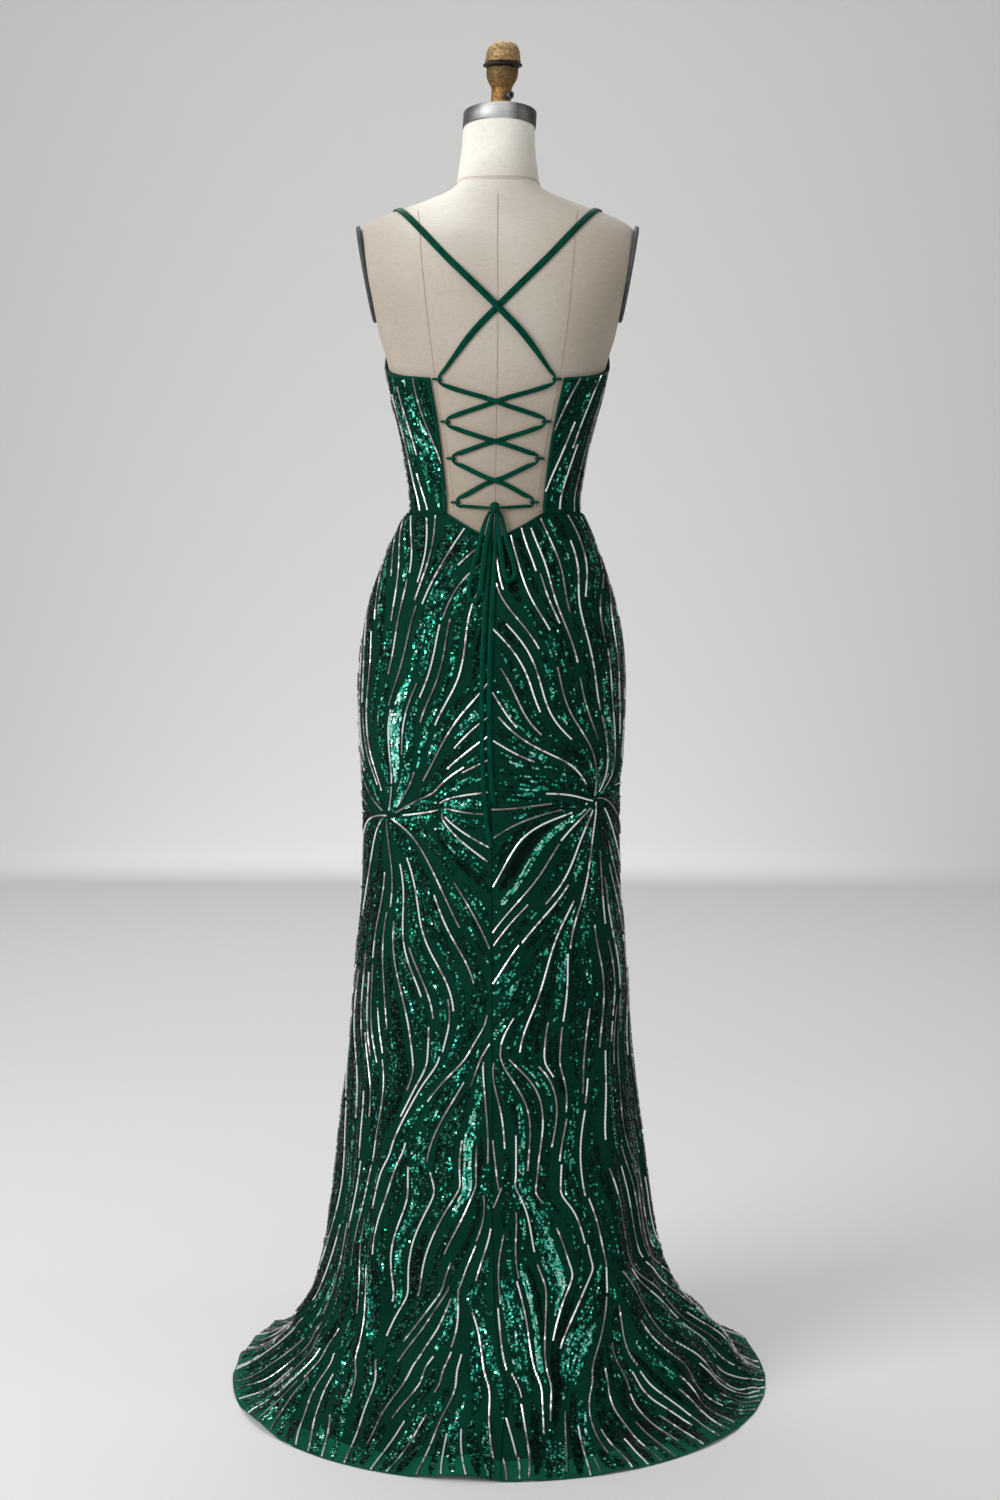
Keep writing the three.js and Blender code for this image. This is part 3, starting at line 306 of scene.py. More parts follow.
def mesh_piece(name, points, faces, smooth=True, uv=None, values=None):
    """A mesh object from points in millimetres. uv gives a corner's place by vertex."""
    mesh = bpy.data.meshes.new(name)
    mesh.from_pydata((np.asarray(points) * MM).tolist(), [], [tuple(face) for face in faces])
    mesh.polygons.foreach_set("use_smooth", [smooth] * len(mesh.polygons))
    if uv is not None:
        layer = mesh.uv_layers.new(name="cloth")
        corners = np.empty(len(mesh.loops), int)
        mesh.loops.foreach_get("vertex_index", corners)
        layer.data.foreach_set("uv", np.asarray(uv, float)[corners].ravel())
    for key, column in (values or {}).items():
        column = np.asarray(column, float)
        kind = "FLOAT_VECTOR" if column.ndim == 2 else "FLOAT"
        field = "vector" if column.ndim == 2 else "value"
        mesh.attributes.new(key, kind, "POINT").data.foreach_set(field, column.ravel())
    mesh.update()
    piece = bpy.data.objects.new(name, mesh)
    bpy.context.scene.collection.objects.link(piece)
    return piece


def finish(piece, material, *nodes, slot=None):
    """Gives a piece its material, the CAD body it rides on and the CAD nodes it stands for."""
    piece.data.materials.clear()
    piece.data.materials.append(material)
    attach(piece, "root")
    if nodes:
        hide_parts(*nodes)
    return piece


def grid_faces(rows, cols, wrap=False, start=0):
    """Quads of a grid of points, row by row."""
    cells = cols if wrap else cols - 1
    j, i = np.meshgrid(np.arange(rows - 1), np.arange(cells), indexing="ij")
    a = start + j * cols + i
    b = start + j * cols + (i + 1) % cols
    return np.stack([a, b, b + cols, a + cols], -1).reshape(-1, 4)


def closed_faces(rows, cols, reverse=False):
    """Quads round a stack of rings and a cap at each end."""
    faces = grid_faces(rows, cols, wrap=True).tolist()
    faces += [list(range(cols))[::-1], list(range((rows - 1) * cols, rows * cols))]
    return [face[::-1] for face in faces] if reverse else faces


def loft(name, rings):
    """A solid through rings of points, from the lowest up, each turning from the back towards +X."""
    rings = np.asarray(rings)
    return mesh_piece(name, rings.reshape(-1, 3), closed_faces(*rings.shape[:2], reverse=True))


def cloth_wall(name, face, wall, uv, edge=0.0):
    """A closed cloth wall behind a grid of outer points. edge pulls the two upright sides in."""
    face = np.array(face)
    along_a = np.gradient(face, axis=1)
    along_b = np.gradient(face, axis=0)
    normal = np.cross(along_a, along_b)
    normal /= np.maximum(np.linalg.norm(normal, axis=-1, keepdims=True), 1e-9)
    for column, sign in ((0, 1), (-1, -1)):
        face[:, column] += sign * edge * unit(along_a[:, column])
    back = face - normal * wall
    back[..., 2] = np.maximum(back[..., 2], 0.1)
    rows, cols = face.shape[:2]
    count = rows * cols
    faces = grid_faces(rows, cols).tolist()
    faces += [quad[::-1] for quad in grid_faces(rows, cols, start=count).tolist()]
    rim = [j * cols for j in range(rows)] + [(rows - 1) * cols + i for i in range(1, cols)]
    rim += [j * cols + cols - 1 for j in range(rows - 2, -1, -1)] + list(range(cols - 2, 0, -1))
    for a, b in zip(rim, rim[1:] + rim[:1]):
        faces.append([b, a, count + a, count + b])
    points = np.concatenate([face.reshape(-1, 3), back.reshape(-1, 3)])
    uv = np.asarray(uv, float).reshape(-1, 2)
    return mesh_piece(name, lean(points), faces, uv=np.concatenate([uv, uv]))


def tube(name, points, normals, widths, thickness, sides=12, fullness=2.6):
    """A flattened tube along points. Each ring's width lies square to the path and to its normal."""
    points = np.asarray(points, float)
    along = unit(np.gradient(points, axis=0))
    sideways = unit(np.cross(along, normals))
    up = np.cross(sideways, along)
    turn = 2 * np.pi * (np.arange(sides) + 0.5) / sides
    across = np.sign(np.cos(turn)) * np.abs(np.cos(turn)) ** (2 / fullness)
    high = np.sign(np.sin(turn)) * np.abs(np.sin(turn)) ** (2 / fullness)
    widths = np.broadcast_to(np.asarray(widths, float), len(points))
    rings = (
        points[:, None]
        + sideways[:, None] * across[None, :, None] * widths[:, None, None] / 2
        + up[:, None] * high[None, :, None] * thickness / 2
    )
    length = np.concatenate([[0], np.cumsum(np.linalg.norm(np.diff(points, axis=0), axis=-1))])
    uv = np.stack(np.meshgrid(length * MM, np.arange(sides) / sides * 0.012, indexing="ij"), -1)
    return mesh_piece(name, rings.reshape(-1, 3), closed_faces(len(points), sides), uv=uv.reshape(-1, 2))


def spline(points, per_span):
    """Points of a centripetal curve through the given ones."""
    points = np.asarray(points, float)
    first = 2 * points[0] - points[1]
    last = 2 * points[-1] - points[-2]
    padded = np.vstack([first, points, last])
    found = []
    for i in range(len(points) - 1):
        a, b, c, d = padded[i : i + 4]
        knots = [0.0]
        for p, q in ((a, b), (b, c), (c, d)):
            knots.append(knots[-1] + max(np.linalg.norm(q - p) ** 0.5, 1e-4))
        k0, k1, k2, k3 = knots
        is_last = i == len(points) - 2
        for t in np.linspace(k1, k2, per_span + is_last, endpoint=is_last):
            ab = a + (b - a) * (t - k0) / (k1 - k0)
            bc = b + (c - b) * (t - k1) / (k2 - k1)
            cd = c + (d - c) * (t - k2) / (k3 - k2)
            abc = ab + (bc - ab) * (t - k0) / (k2 - k0)
            bcd = bc + (cd - bc) * (t - k1) / (k3 - k1)
            found.append(abc + (bcd - abc) * (t - k1) / (k2 - k1))
    return np.array(found)


def surface_route(section_at, route, per_span):
    """A route over a body: its points, the surface's normals there and the widths."""
    start = np.stack([route["x"], route["y"], route["z"]], -1)
    near, _ = on_surface(section_at, start, np.zeros(len(start)))
    curve = spline(near, per_span)
    spans = np.arange(len(curve)) / per_span
    row = np.minimum(spans.astype(int), len(start) - 2)
    t = smoothstep(spans - row, 0, 1)
    lift = route["lift"][row] * (1 - t) + route["lift"][row + 1] * t
    width = route["width"][row] * (1 - t) + route["width"][row + 1] * t
    far, normal = on_surface(section_at, curve, lift)
    return far, normal, width


# Camera: 62.9 mm lens on a 36 mm frame, 3.29 m behind the gown and looking down 5.7 degrees

PHOTO_HEIGHT = 1500
FOCAL_PIXELS = 2622


def place_camera():
    camera = bpy.data.objects.new("camera", bpy.data.cameras.new("camera"))
    camera.data.sensor_width = 36
    camera.data.lens = FOCAL_PIXELS * 36 / PHOTO_HEIGHT
    camera.data.clip_end = 50
    camera.location = (-0.00565, 3.293, 1.1339)
    camera.rotation_euler = (math.radians(90 - 5.66), 0, math.pi)
    bpy.context.scene.collection.objects.link(camera)
    bpy.context.scene.camera = camera


place_camera()


# Materials

def linear(hex_colour):
    """A linear colour from an sRGB hex value."""
    value = hex_colour.lstrip("#")
    parts = [int(value[i : i + 2], 16) / 255 for i in (0, 2, 4)]
    return tuple(c / 12.92 if c <= 0.04045 else ((c + 0.055) / 1.055) ** 2.4 for c in parts) + (1.0,)


def node(tree, kind, inputs=None, stops=(), **settings):
    """Adds a node with its settings and inputs. A node as an input stands for its first output in use."""
    made = tree.nodes.new(kind)
    for name, value in settings.items():
        setattr(made, name, value)
    # stops are a ramp's places and colours
    for i, (place, colour) in enumerate(stops):
        element = made.color_ramp.elements[i] if i < 2 else made.color_ramp.elements.new(place)
        element.position = place
        element.color = linear(colour)
    for key, value in (inputs or {}).items():
        if isinstance(value, bpy.types.Node):
            value = next(output for output in value.outputs if output.enabled)
        if isinstance(value, bpy.types.NodeSocket):
            tree.links.new(value, made.inputs[key])
        else:
            made.inputs[key].default_value = value
    return made


def made_of(name, paint, *values):
    """A material whose shader takes the inputs that a paint function works out in its tree."""
    material = bpy.data.materials.new(name)
    material.use_nodes = True
    tree = material.node_tree
    tree.nodes.clear()
    shader = node(tree, "ShaderNodeBsdfPrincipled", paint(tree, *values))
    node(tree, "ShaderNodeOutputMaterial", {"Surface": shader})
    return material


def net_over_lining(tree):
    """Polyester net over a matt lining: a flat deep green with a faint mesh and hardly any gloss."""
    cloth = node(tree, "ShaderNodeUVMap", uv_map="cloth").outputs["UV"]
    clouds = node(tree, "ShaderNodeTexNoise", {"Vector": cloth, "Scale": 9, "Detail": 3})
    lining = node(tree, "ShaderNodeValToRGB", {"Fac": clouds}, [
        (0.3, "#053225"), (0.7, "#094130")])
    # the net's holes are about 1.2 mm, drawn at 2 mm so that they show
    mesh = node(tree, "ShaderNodeTexVoronoi", {"Vector": cloth, "Scale": 500}, feature="DISTANCE_TO_EDGE")
    threads = node(tree, "ShaderNodeMapRange", {
        "Value": mesh, "From Min": 0.02, "From Max": 0.16, "To Min": 1, "To Max": 0})
    net = node(tree, "ShaderNodeMix", {
        "Factor": threads, "A": lining, "B": linear("#04281e")},
        data_type="RGBA")
    weave = node(tree, "ShaderNodeBump", {
        "Height": threads, "Strength": 0.25, "Distance": 0.0004})
    return {
        "Base Color": net, "Roughness": 0.85, "Specular IOR Level": 0.04,
        "Normal": weave}


def sheer_net(tree):
    """The same net with nothing behind it, at the train's edge: it lets a quarter of the floor through."""
    cloth = node(tree, "ShaderNodeUVMap", uv_map="cloth").outputs["UV"]
    clouds = node(tree, "ShaderNodeTexNoise", {"Vector": cloth, "Scale": 14, "Detail": 3})
    shade = node(tree, "ShaderNodeValToRGB", {"Fac": clouds}, [(0.3, "#07503b"), (0.7, "#0e6a4e")])
    return {
        "Base Color": shade, "Roughness": 0.8, "Specular IOR Level": 0.05, "Alpha": 0.74}


def lining_cloth(tree):
    """Polyester lining: a plain weave, matt and a little lighter than the net."""
    cloth = node(tree, "ShaderNodeUVMap", uv_map="cloth").outputs["UV"]
    # threads at 0.3 mm, drawn at 0.9 mm
    weave = node(tree, "ShaderNodeTexChecker", {"Vector": cloth, "Scale": 1100})
    clouds = node(tree, "ShaderNodeTexNoise", {"Vector": cloth, "Scale": 11, "Detail": 3})
    shade = node(tree, "ShaderNodeValToRGB", {"Fac": clouds}, [(0.25, "#0b5639"), (0.75, "#0f6a45")])
    bump = node(tree, "ShaderNodeBump", {
        "Height": weave.outputs["Fac"], "Strength": 0.15, "Distance": 0.0002})
    return {
        "Base Color": shade, "Roughness": 0.7, "Specular IOR Level": 0.15,
        "Normal": bump}


def green_sequin_film(tree):
    """Polyester film sequins, metal-backed and tipped at random, so they catch the lamps; the tone attribute
    also paints flashes into their colour, from nearly black to bright teal.
    """
    tone = node(tree, "ShaderNodeAttribute", attribute_name="tone")
    colour = node(tree, "ShaderNodeValToRGB", {"Fac": tone.outputs["Fac"]}, [
        (0.0, "#02150f"), (0.3, "#064434"), (0.6, "#138a70"), (0.8, "#3accac"), (1.0, "#c0f7e6")])
    return {
        "Base Color": colour, "Metallic": 0.75, "Roughness": 0.25, "Specular IOR Level": 0.2}


def silver_lined_glass(tree):
    """Glass bugle beads lined with silver: short tubes that reflect the lamps, with painted glints and shade
    in their colour through the tone attribute, from dark grey to white.
    """
    tone = node(tree, "ShaderNodeAttribute", attribute_name="tone")
    colour = node(tree, "ShaderNodeValToRGB", {"Fac": tone.outputs["Fac"]}, [
        (0.0, "#454b49"), (0.4, "#928c8b"), (0.7, "#cfc7c6"), (1.0, "#ffffff")])
    return {
        "Base Color": colour, "Metallic": 0.5, "Roughness": 0.3, "Coat Weight": 0.5}


def satin_tube(tree):
    """Polyester satin sewn into a narrow tube: a close sheen along the length, with painted shade in its
    folds, where the bump is low.
    """
    cloth = node(tree, "ShaderNodeUVMap", uv_map="cloth").outputs["UV"]
    pull = node(tree, "ShaderNodeMapping", {"Vector": cloth, "Scale": (60, 900, 1)})
    strands = node(tree, "ShaderNodeTexNoise", {"Vector": pull, "Scale": 1, "Detail": 2})
    colour = node(tree, "ShaderNodeValToRGB", {"Fac": strands}, [
        (0.25, "#02261c"), (0.75, "#064838")])
    bump = node(tree, "ShaderNodeBump", {
        "Height": strands, "Strength": 0.3, "Distance": 0.0004})
    return {
        "Base Color": colour, "Roughness": 0.42, "Specular IOR Level": 0.16,
        "Specular Tint": linear("#5fd0a8"), "Normal": bump}


def linen_cover(tree):
    """Unbleached linen stretched over padding: cream, faintly woven and blotched, with painted shade that
    darkens it low down and painted light that brightens it up to the neck.
    """
    place = node(tree, "ShaderNodeTexCoord").outputs["Object"]
    # threads at 0.5 mm, drawn at about 1.5 mm
    slub_map = node(tree, "ShaderNodeMapping", {"Vector": place, "Scale": (1300, 1300, 90)})
    slubs = node(tree, "ShaderNodeTexNoise", {"Vector": slub_map, "Scale": 1, "Detail": 3})
    weft_map = node(tree, "ShaderNodeMapping", {"Vector": place, "Scale": (110, 110, 1300)})
    wefts = node(tree, "ShaderNodeTexNoise", {"Vector": weft_map, "Scale": 1, "Detail": 3})
    threads = node(tree, "ShaderNodeMath", {0: slubs, 1: wefts}, operation="ADD")
    thread_shade = node(tree, "ShaderNodeMapRange", {
        "Value": threads, "From Min": 0.6, "From Max": 1.4, "To Min": 0.0, "To Max": 1.0})
    blotches = node(tree, "ShaderNodeTexNoise", {"Vector": place, "Scale": 3, "Detail": 2})
    # painted light and shade: the colour runs darker towards the waist and lighter up to the neck, times
    # random blotches
    height = node(tree, "ShaderNodeSeparateXYZ", {"Vector": place})
    upward = node(tree, "ShaderNodeMapRange", {
        "Value": height.outputs["Z"], "From Min": 1.1, "From Max": 1.56, "To Min": -0.15, "To Max": 0.74})
    painted_light_by_height = node(tree, "ShaderNodeMath", {0: upward, 1: 0.45}, operation="ADD")
    painted_shade_and_blotches = node(tree, "ShaderNodeMath", {0: painted_light_by_height, 1: blotches},
                operation="MULTIPLY")
    base = node(tree, "ShaderNodeValToRGB", {"Fac": painted_shade_and_blotches}, [
        (0.08, "#9a8d79"), (0.3, "#b9aea0"), (0.45, "#d0c9be"), (0.56, "#f6f3ea")])
    shade = node(tree, "ShaderNodeMix", {
        "Factor": thread_shade, "A": linear("#a89e8f"), "B": linear("#ffffff")},
        data_type="RGBA")
    colour = node(tree, "ShaderNodeMix", {
        "Factor": 0.35, "A": base, "B": shade}, data_type="RGBA",
        blend_type="MULTIPLY")
    bump = node(tree, "ShaderNodeBump", {
        "Height": threads, "Strength": 0.15, "Distance": 0.0004})
    return {
        "Base Color": colour, "Roughness": 0.9, "Specular IOR Level": 0.15,
        "Normal": bump}


def seam_thread(tree):
    """The form's seams: a felled edge of the same linen, a shade browner."""
    place = node(tree, "ShaderNodeTexCoord").outputs["Object"]
    stitches = node(tree, "ShaderNodeTexNoise", {"Vector": place, "Scale": 400, "Detail": 2})
    colour = node(tree, "ShaderNodeValToRGB", {"Fac": stitches}, [
        (0.3, "#9d8c78"), (0.7, "#bdb09d")])
    return {"Base Color": colour, "Roughness": 0.9}


def brushed_steel(tree, dark, light, roughness):
    """Stainless steel brushed round its edge: fine streaks, with a painted reflection in bands across it,
    bright near the middle and dull at the sides.
    """
    place = node(tree, "ShaderNodeTexCoord").outputs["Object"]
    streaks = node(tree, "ShaderNodeMapping", {"Vector": place, "Scale": (20, 20, 1400)})
    brush = node(tree, "ShaderNodeTexNoise", {"Vector": streaks, "Scale": 1, "Detail": 3})
    colour = node(tree, "ShaderNodeValToRGB", {"Fac": brush}, [(0.3, dark), (0.7, light)])
    # painted reflection: a ramp over the piece's X, brightest a little to -X of the middle and darker at both
    # sides
    sides = node(tree, "ShaderNodeSeparateXYZ", {"Vector": place})
    across = node(tree, "ShaderNodeMapRange", {
        "Value": sides.outputs["X"], "From Min": -0.045, "From Max": 0.045, "To Min": 0.0, "To Max": 1.0})
    painted_reflection_bands = node(tree, "ShaderNodeValToRGB", {"Fac": across}, [
        (0.0, "#6c6c6a"), (0.2, "#8c8c8a"), (0.34, "#ffffff"), (0.52, "#f0f0ee"), (0.72, "#8e8e8e"),
        (1.0, "#a0a0a0")])
    colour_bands = node(tree, "ShaderNodeMix", {
        "Factor": 1, "A": colour, "B": painted_reflection_bands}, data_type="RGBA",
        blend_type="MULTIPLY")
    rough = node(tree, "ShaderNodeMapRange", {
        "Value": brush, "To Min": roughness - 0.06, "To Max": roughness + 0.08})
    bump = node(tree, "ShaderNodeBump", {"Height": brush, "Strength": 0.1, "Distance": 0.0002})
    return {
        "Base Color": colour_bands, "Metallic": 1, "Roughness": rough,
        "Normal": bump}


def aged_brass(tree):
    """Cast brass gone brown, in colour bands by height: light at the foot of the stem, darker up it and
    darkest at the ring, light again over the top, with a pitted skin.
    """
    place = node(tree, "ShaderNodeTexCoord").outputs["Object"]
    tarnish = node(tree, "ShaderNodeTexNoise", {"Vector": place, "Scale": 300, "Detail": 5})
    height = node(tree, "ShaderNodeSeparateXYZ", {"Vector": place})
    upward = node(tree, "ShaderNodeMapRange", {
        "Value": height.outputs["Z"], "From Min": 1.597, "From Max": 1.685, "To Min": 0.0, "To Max": 1.0})
    colour_bands = node(tree, "ShaderNodeValToRGB", {"Fac": upward}, [
        (0.0, "#c9a465"), (0.28, "#ab8347"), (0.5, "#80683e"), (0.66, "#6e5835"), (0.72, "#b29668"),
        (1.0, "#cdb388")])
    speckle = node(tree, "ShaderNodeValToRGB", {"Fac": tarnish}, [
        (0.36, "#4a3a22"), (0.5, "#c8b48e"), (0.66, "#ffffff")])
    colour = node(tree, "ShaderNodeMix", {
        "Factor": 0.7, "A": colour_bands, "B": speckle}, data_type="RGBA",
        blend_type="MULTIPLY")
    pits = node(tree, "ShaderNodeTexVoronoi", {"Vector": place, "Scale": 420})
    bump = node(tree, "ShaderNodeBump", {"Height": pits, "Strength": 0.6, "Distance": 0.0008})
    return {
        "Base Color": colour, "Metallic": 0.45, "Roughness": 0.55,
        "Normal": bump}


def grained(tree, dark, light, roughness, grain, metallic=0.0):
    """A plain moulded or painted surface with a fine grain, in two close shades."""
    place = node(tree, "ShaderNodeTexCoord").outputs["Object"]
    noise = node(tree, "ShaderNodeTexNoise", {"Vector": place, "Scale": grain, "Detail": 4})
    colour = node(tree, "ShaderNodeValToRGB", {"Fac": noise}, [(0.3, dark), (0.7, light)])
    bump = node(tree, "ShaderNodeBump", {"Height": noise, "Strength": 0.15, "Distance": 0.0003})
    return {
        "Base Color": colour, "Metallic": metallic, "Roughness": roughness,
        "Specular IOR Level": 0.3, "Normal": bump}


def matt_paper(tree):
    """Matt white paper from a roll, as photographers use."""
    return {"Base Color": linear("#e6e6e5"), "Roughness": 0.9, "Specular IOR Level": 0.1}


NET = made_of("polyester_net_over_lining", net_over_lining)
SHEER = made_of("polyester_net_sheer", sheer_net)
LINING = made_of("polyester_lining", lining_cloth)
SEQUINS = made_of("green_sequin_film", green_sequin_film)
BEADS = made_of("silver_lined_glass_beads", silver_lined_glass)
SATIN = made_of("green_satin_tube", satin_tube)
LINEN = made_of("stretched_linen", linen_cover)
SEAM = made_of("linen_seam", seam_thread)
CAP_STEEL = made_of("brushed_stainless_cap", brushed_steel, "#c0c0c0", "#f2f2f2", 0.46)
SCREW_STEEL = made_of("blackened_steel_screw", grained, "#3c3f40", "#686b6c", 0.4, 400, 0.8)
BRASS = made_of("aged_cast_brass", aged_brass)
RING_RUBBER = made_of("black_rubber_ring", grained, "#0c0e10", "#1b1e20", 0.55, 300)
ARM_GREY = made_of("grey_moulded_arm_plate", grained, "#3a4142", "#4b5252", 0.6, 200)
IRON = made_of("black_painted_cast_iron", grained, "#141618", "#222527", 0.45, 260, 0.2)


# Floor, backdrop and lights

ROOM_LIGHT = 0.56
# Name, place, what it points at, width and power of each
SOFTBOXES = [
    ("key_softbox", (2.4, 2.0, 2.2), (0, 0, 0.8), 1.8, 78),
    ("fill_softbox", (-2.8, 1.0, 1.75), (0, 0, 1.3), 0.8, 8),
    ("top_softbox", (0.2, 0.9, 3.4), (0, 0, 0.8), 1.6, 8),
    ("floor_softbox", (0.4, -1.5, 3.2), (0.4, -1.5, 0), 2.2, 44),
    ("backdrop_softbox", (0.3, -3.2, 3.0), (0.1, -8, 0.8), 2.4, 21),
    ("low_softbox", (0.2, -4.6, 1.7), (0.1, -8, 0.9), 2.6, 24),
]


def make_studio():
    """A pale paper sweep that curves up behind, softboxes and a room that is bright behind the camera."""
    profile = [(7000, 0), (0, 0), (-5000, 0)]
    profile += [(-5000 - 3000 * math.sin(t), 3000 - 3000 * math.cos(t)) for t in np.linspace(0.05, 1.57, 30)]
    profile += [(-8000, 4000), (-8000, 8000)]
    points = [(x, y, z) for y, z in profile for x in (-7000, 7000)]
    faces = [[2 * i, 2 * i + 1, 2 * i + 3, 2 * i + 2] for i in range(len(profile) - 1)]
    floor = mesh_piece("stage_floor", points, faces)
    floor.data.materials.append(made_of("white_studio_paper", matt_paper))
    scene = bpy.context.scene
    scene.view_settings.view_transform = "Standard"
    scene.world = bpy.data.worlds.new("studio_room")
    scene.world.use_nodes = True
    room = scene.world.node_tree
    room.nodes.clear()
    around = node(room, "ShaderNodeTexCoord").outputs["Generated"]
    way = node(room, "ShaderNodeSeparateXYZ", {"Vector": around})
    behind = node(room, "ShaderNodeMapRange", {
        "Value": way.outputs["Y"], "From Min": -1.0, "From Max": 1.0, "To Min": 0.0, "To Max": 1.0})
    walls = node(room, "ShaderNodeValToRGB", {"Fac": behind}, [
        (0.3, "#c0c0c0"), (0.55, "#8c8c8c"), (0.95, "#ffffff")])
    air = node(room, "ShaderNodeBackground", {"Color": walls, "Strength": ROOM_LIGHT})
    node(room, "ShaderNodeOutputWorld", {"Surface": air})
    for name, place, aim, size, power in SOFTBOXES:
        lamp = bpy.data.lights.new(name, "AREA")
        lamp.size = size
        lamp.energy = power
        softbox = bpy.data.objects.new(name, lamp)
        softbox.location = place
        softbox.rotation_euler = (Vector(aim) - Vector(place)).to_track_quat("-Z", "Y").to_euler()
        scene.collection.objects.link(softbox)


make_studio()


# Straps, laces and bow

def opening_edge(z):
    return table_at(OPENING, "z", z)["edge"] - SEAM_GAP


def inside_loop(z):
    return opening_edge(z) - LOOP_LENGTH + LOOP_THICKNESS / 2 + 0.4 + PINCHED_WIDTH / 2


def lace_route(rank):
    """The strap over the shoulder and the lace it becomes, in rows of x, y, z, lift and width."""
    first, second = (OVER_LIFT, UNDER_LIFT) if rank == 1 else (UNDER_LIFT, OVER_LIFT)
    rest = UNDER_LIFT
    rows = [
        (90, -118, 1341, rest, STRAP_WIDTH),
        (98, -92, 1385, rest, STRAP_WIDTH),
        (110, -62, 1430, rest, STRAP_WIDTH),
        (120, -34, 1464, rest, STRAP_WIDTH),
        (126, -8, 1478, rest, STRAP_WIDTH),
        (123, 15, 1477, rest, STRAP_WIDTH),
        (114, 35, 1470, rest, STRAP_WIDTH),
        (96, 57, 1452, rest, STRAP_WIDTH),
        (61.5, 80, 1414.3, rest, STRAP_WIDTH),
        (30.4, 88.4, 1384, first, STRAP_WIDTH),
        (0, 91, 1354.5, first, STRAP_WIDTH),
        (-30.4, 90, 1323, first, STRAP_WIDTH),
        (-inside_loop(LOOP_HEIGHTS[0]) + 5, 84, LOOP_HEIGHTS[0] + 10, LOOP_LIFT, 5),
    ]
    for i, height in enumerate(LOOP_HEIGHTS):
        side = -1 if i % 2 == 0 else 1
        x = inside_loop(height)
        rows.append((side * x, 80, height + TURN, LOOP_LIFT, PINCHED_WIDTH))
        rows.append((side * x, 80, height - TURN, LOOP_LIFT, PINCHED_WIDTH))
        if i == len(LOOP_HEIGHTS) - 1:
            break
        below = LOOP_HEIGHTS[i + 1]
        lift = second if i % 2 == 0 else first

        def level(t):
            return (height - TURN - 1) * (1 - t) + (below + TURN + 1) * t

        rows.append((side * (x - 14), 80, level(0.12), LOOP_LIFT, LACE_WIDTH))
        rows.append((side * 11, 80, level(0.42), lift, LACE_WIDTH))
        rows.append((-side * 11, 80, level(0.6), lift, LACE_WIDTH))
        rows.append((-side * (inside_loop(below) - 12), 80, level(0.9), LOOP_LIFT, LACE_WIDTH))
    last = LOOP_HEIGHTS[-1]
    rows.append((inside_loop(last) - 10, 76, last - 5, LOOP_LIFT, 4.2))
    rows.append((22, 76, last - 6.5, LOOP_LIFT + 0.6, 4.2))
    rows.append((KNOT["width"] + SEAM_GAP, 76, KNOT["z"], KNOT["lift"], 3.4))
    return columns("x y z lift width", rows)


def make_straps():
    for side, rank, name in ((1, 1, "strap_lace_left"), (-1, 2, "strap_lace_right")):
        points, normals, widths = surface_route(form_at, lace_route(rank), 8)
        mirror = np.array([side, 1, 1])
        strap = tube(name + "_satin", lean(points * mirror), normals * mirror, widths, LACE_THICKNESS)
        finish(strap, SATIN, name, slot="satin")


def make_loops():
    for number, height in enumerate(LOOP_HEIGHTS, 1):
        edge = opening_edge(height)
        spread = LACE_THICKNESS / 2 + LOOP_THICKNESS / 2 + 0.35
        path = columns("out lift", [
            (0, 0.8), (0.35, spread - 0.3), (0.6, spread), (0.9, spread), (1, 0.8),
            (1, -0.8), (0.9, -spread), (0.6, -spread), (0.35, -spread), (0, -0.8)])
        start = np.stack([
            edge - path["out"] * LOOP_LENGTH, np.full(10, 80.0), np.full(10, float(height))], -1)
        points, _ = on_surface(form_at, start, LOOP_LIFT + path["lift"])
        points = spline(points, 5)
        normals = unit(np.cross([0, 0, 1], np.gradient(points, axis=0)))
        for side, word in ((1, "left"), (-1, "right")):
            mirror = np.array([side, 1, 1])
            loop = tube(f"lace_loop_{number}_{word}_satin", lean(points * mirror), normals * mirror,
                        LOOP_WIDTH, LOOP_THICKNESS, sides=8)
            finish(loop, SATIN, f"lace_loop_{number}_{word}", slot="satin")


def bow_cord(name, places, node_name):
    route = dict(places, y=skirt_at_height(places["z"])["back"])
    points, normals, widths = surface_route(skirt_at_height, route, 4)
    points = lean(points)
    cord = tube(name, points, normals, widths, BOW_THICKNESS, sides=14)
    finish(cord, SATIN, node_name, slot="satin")
    return cord, points


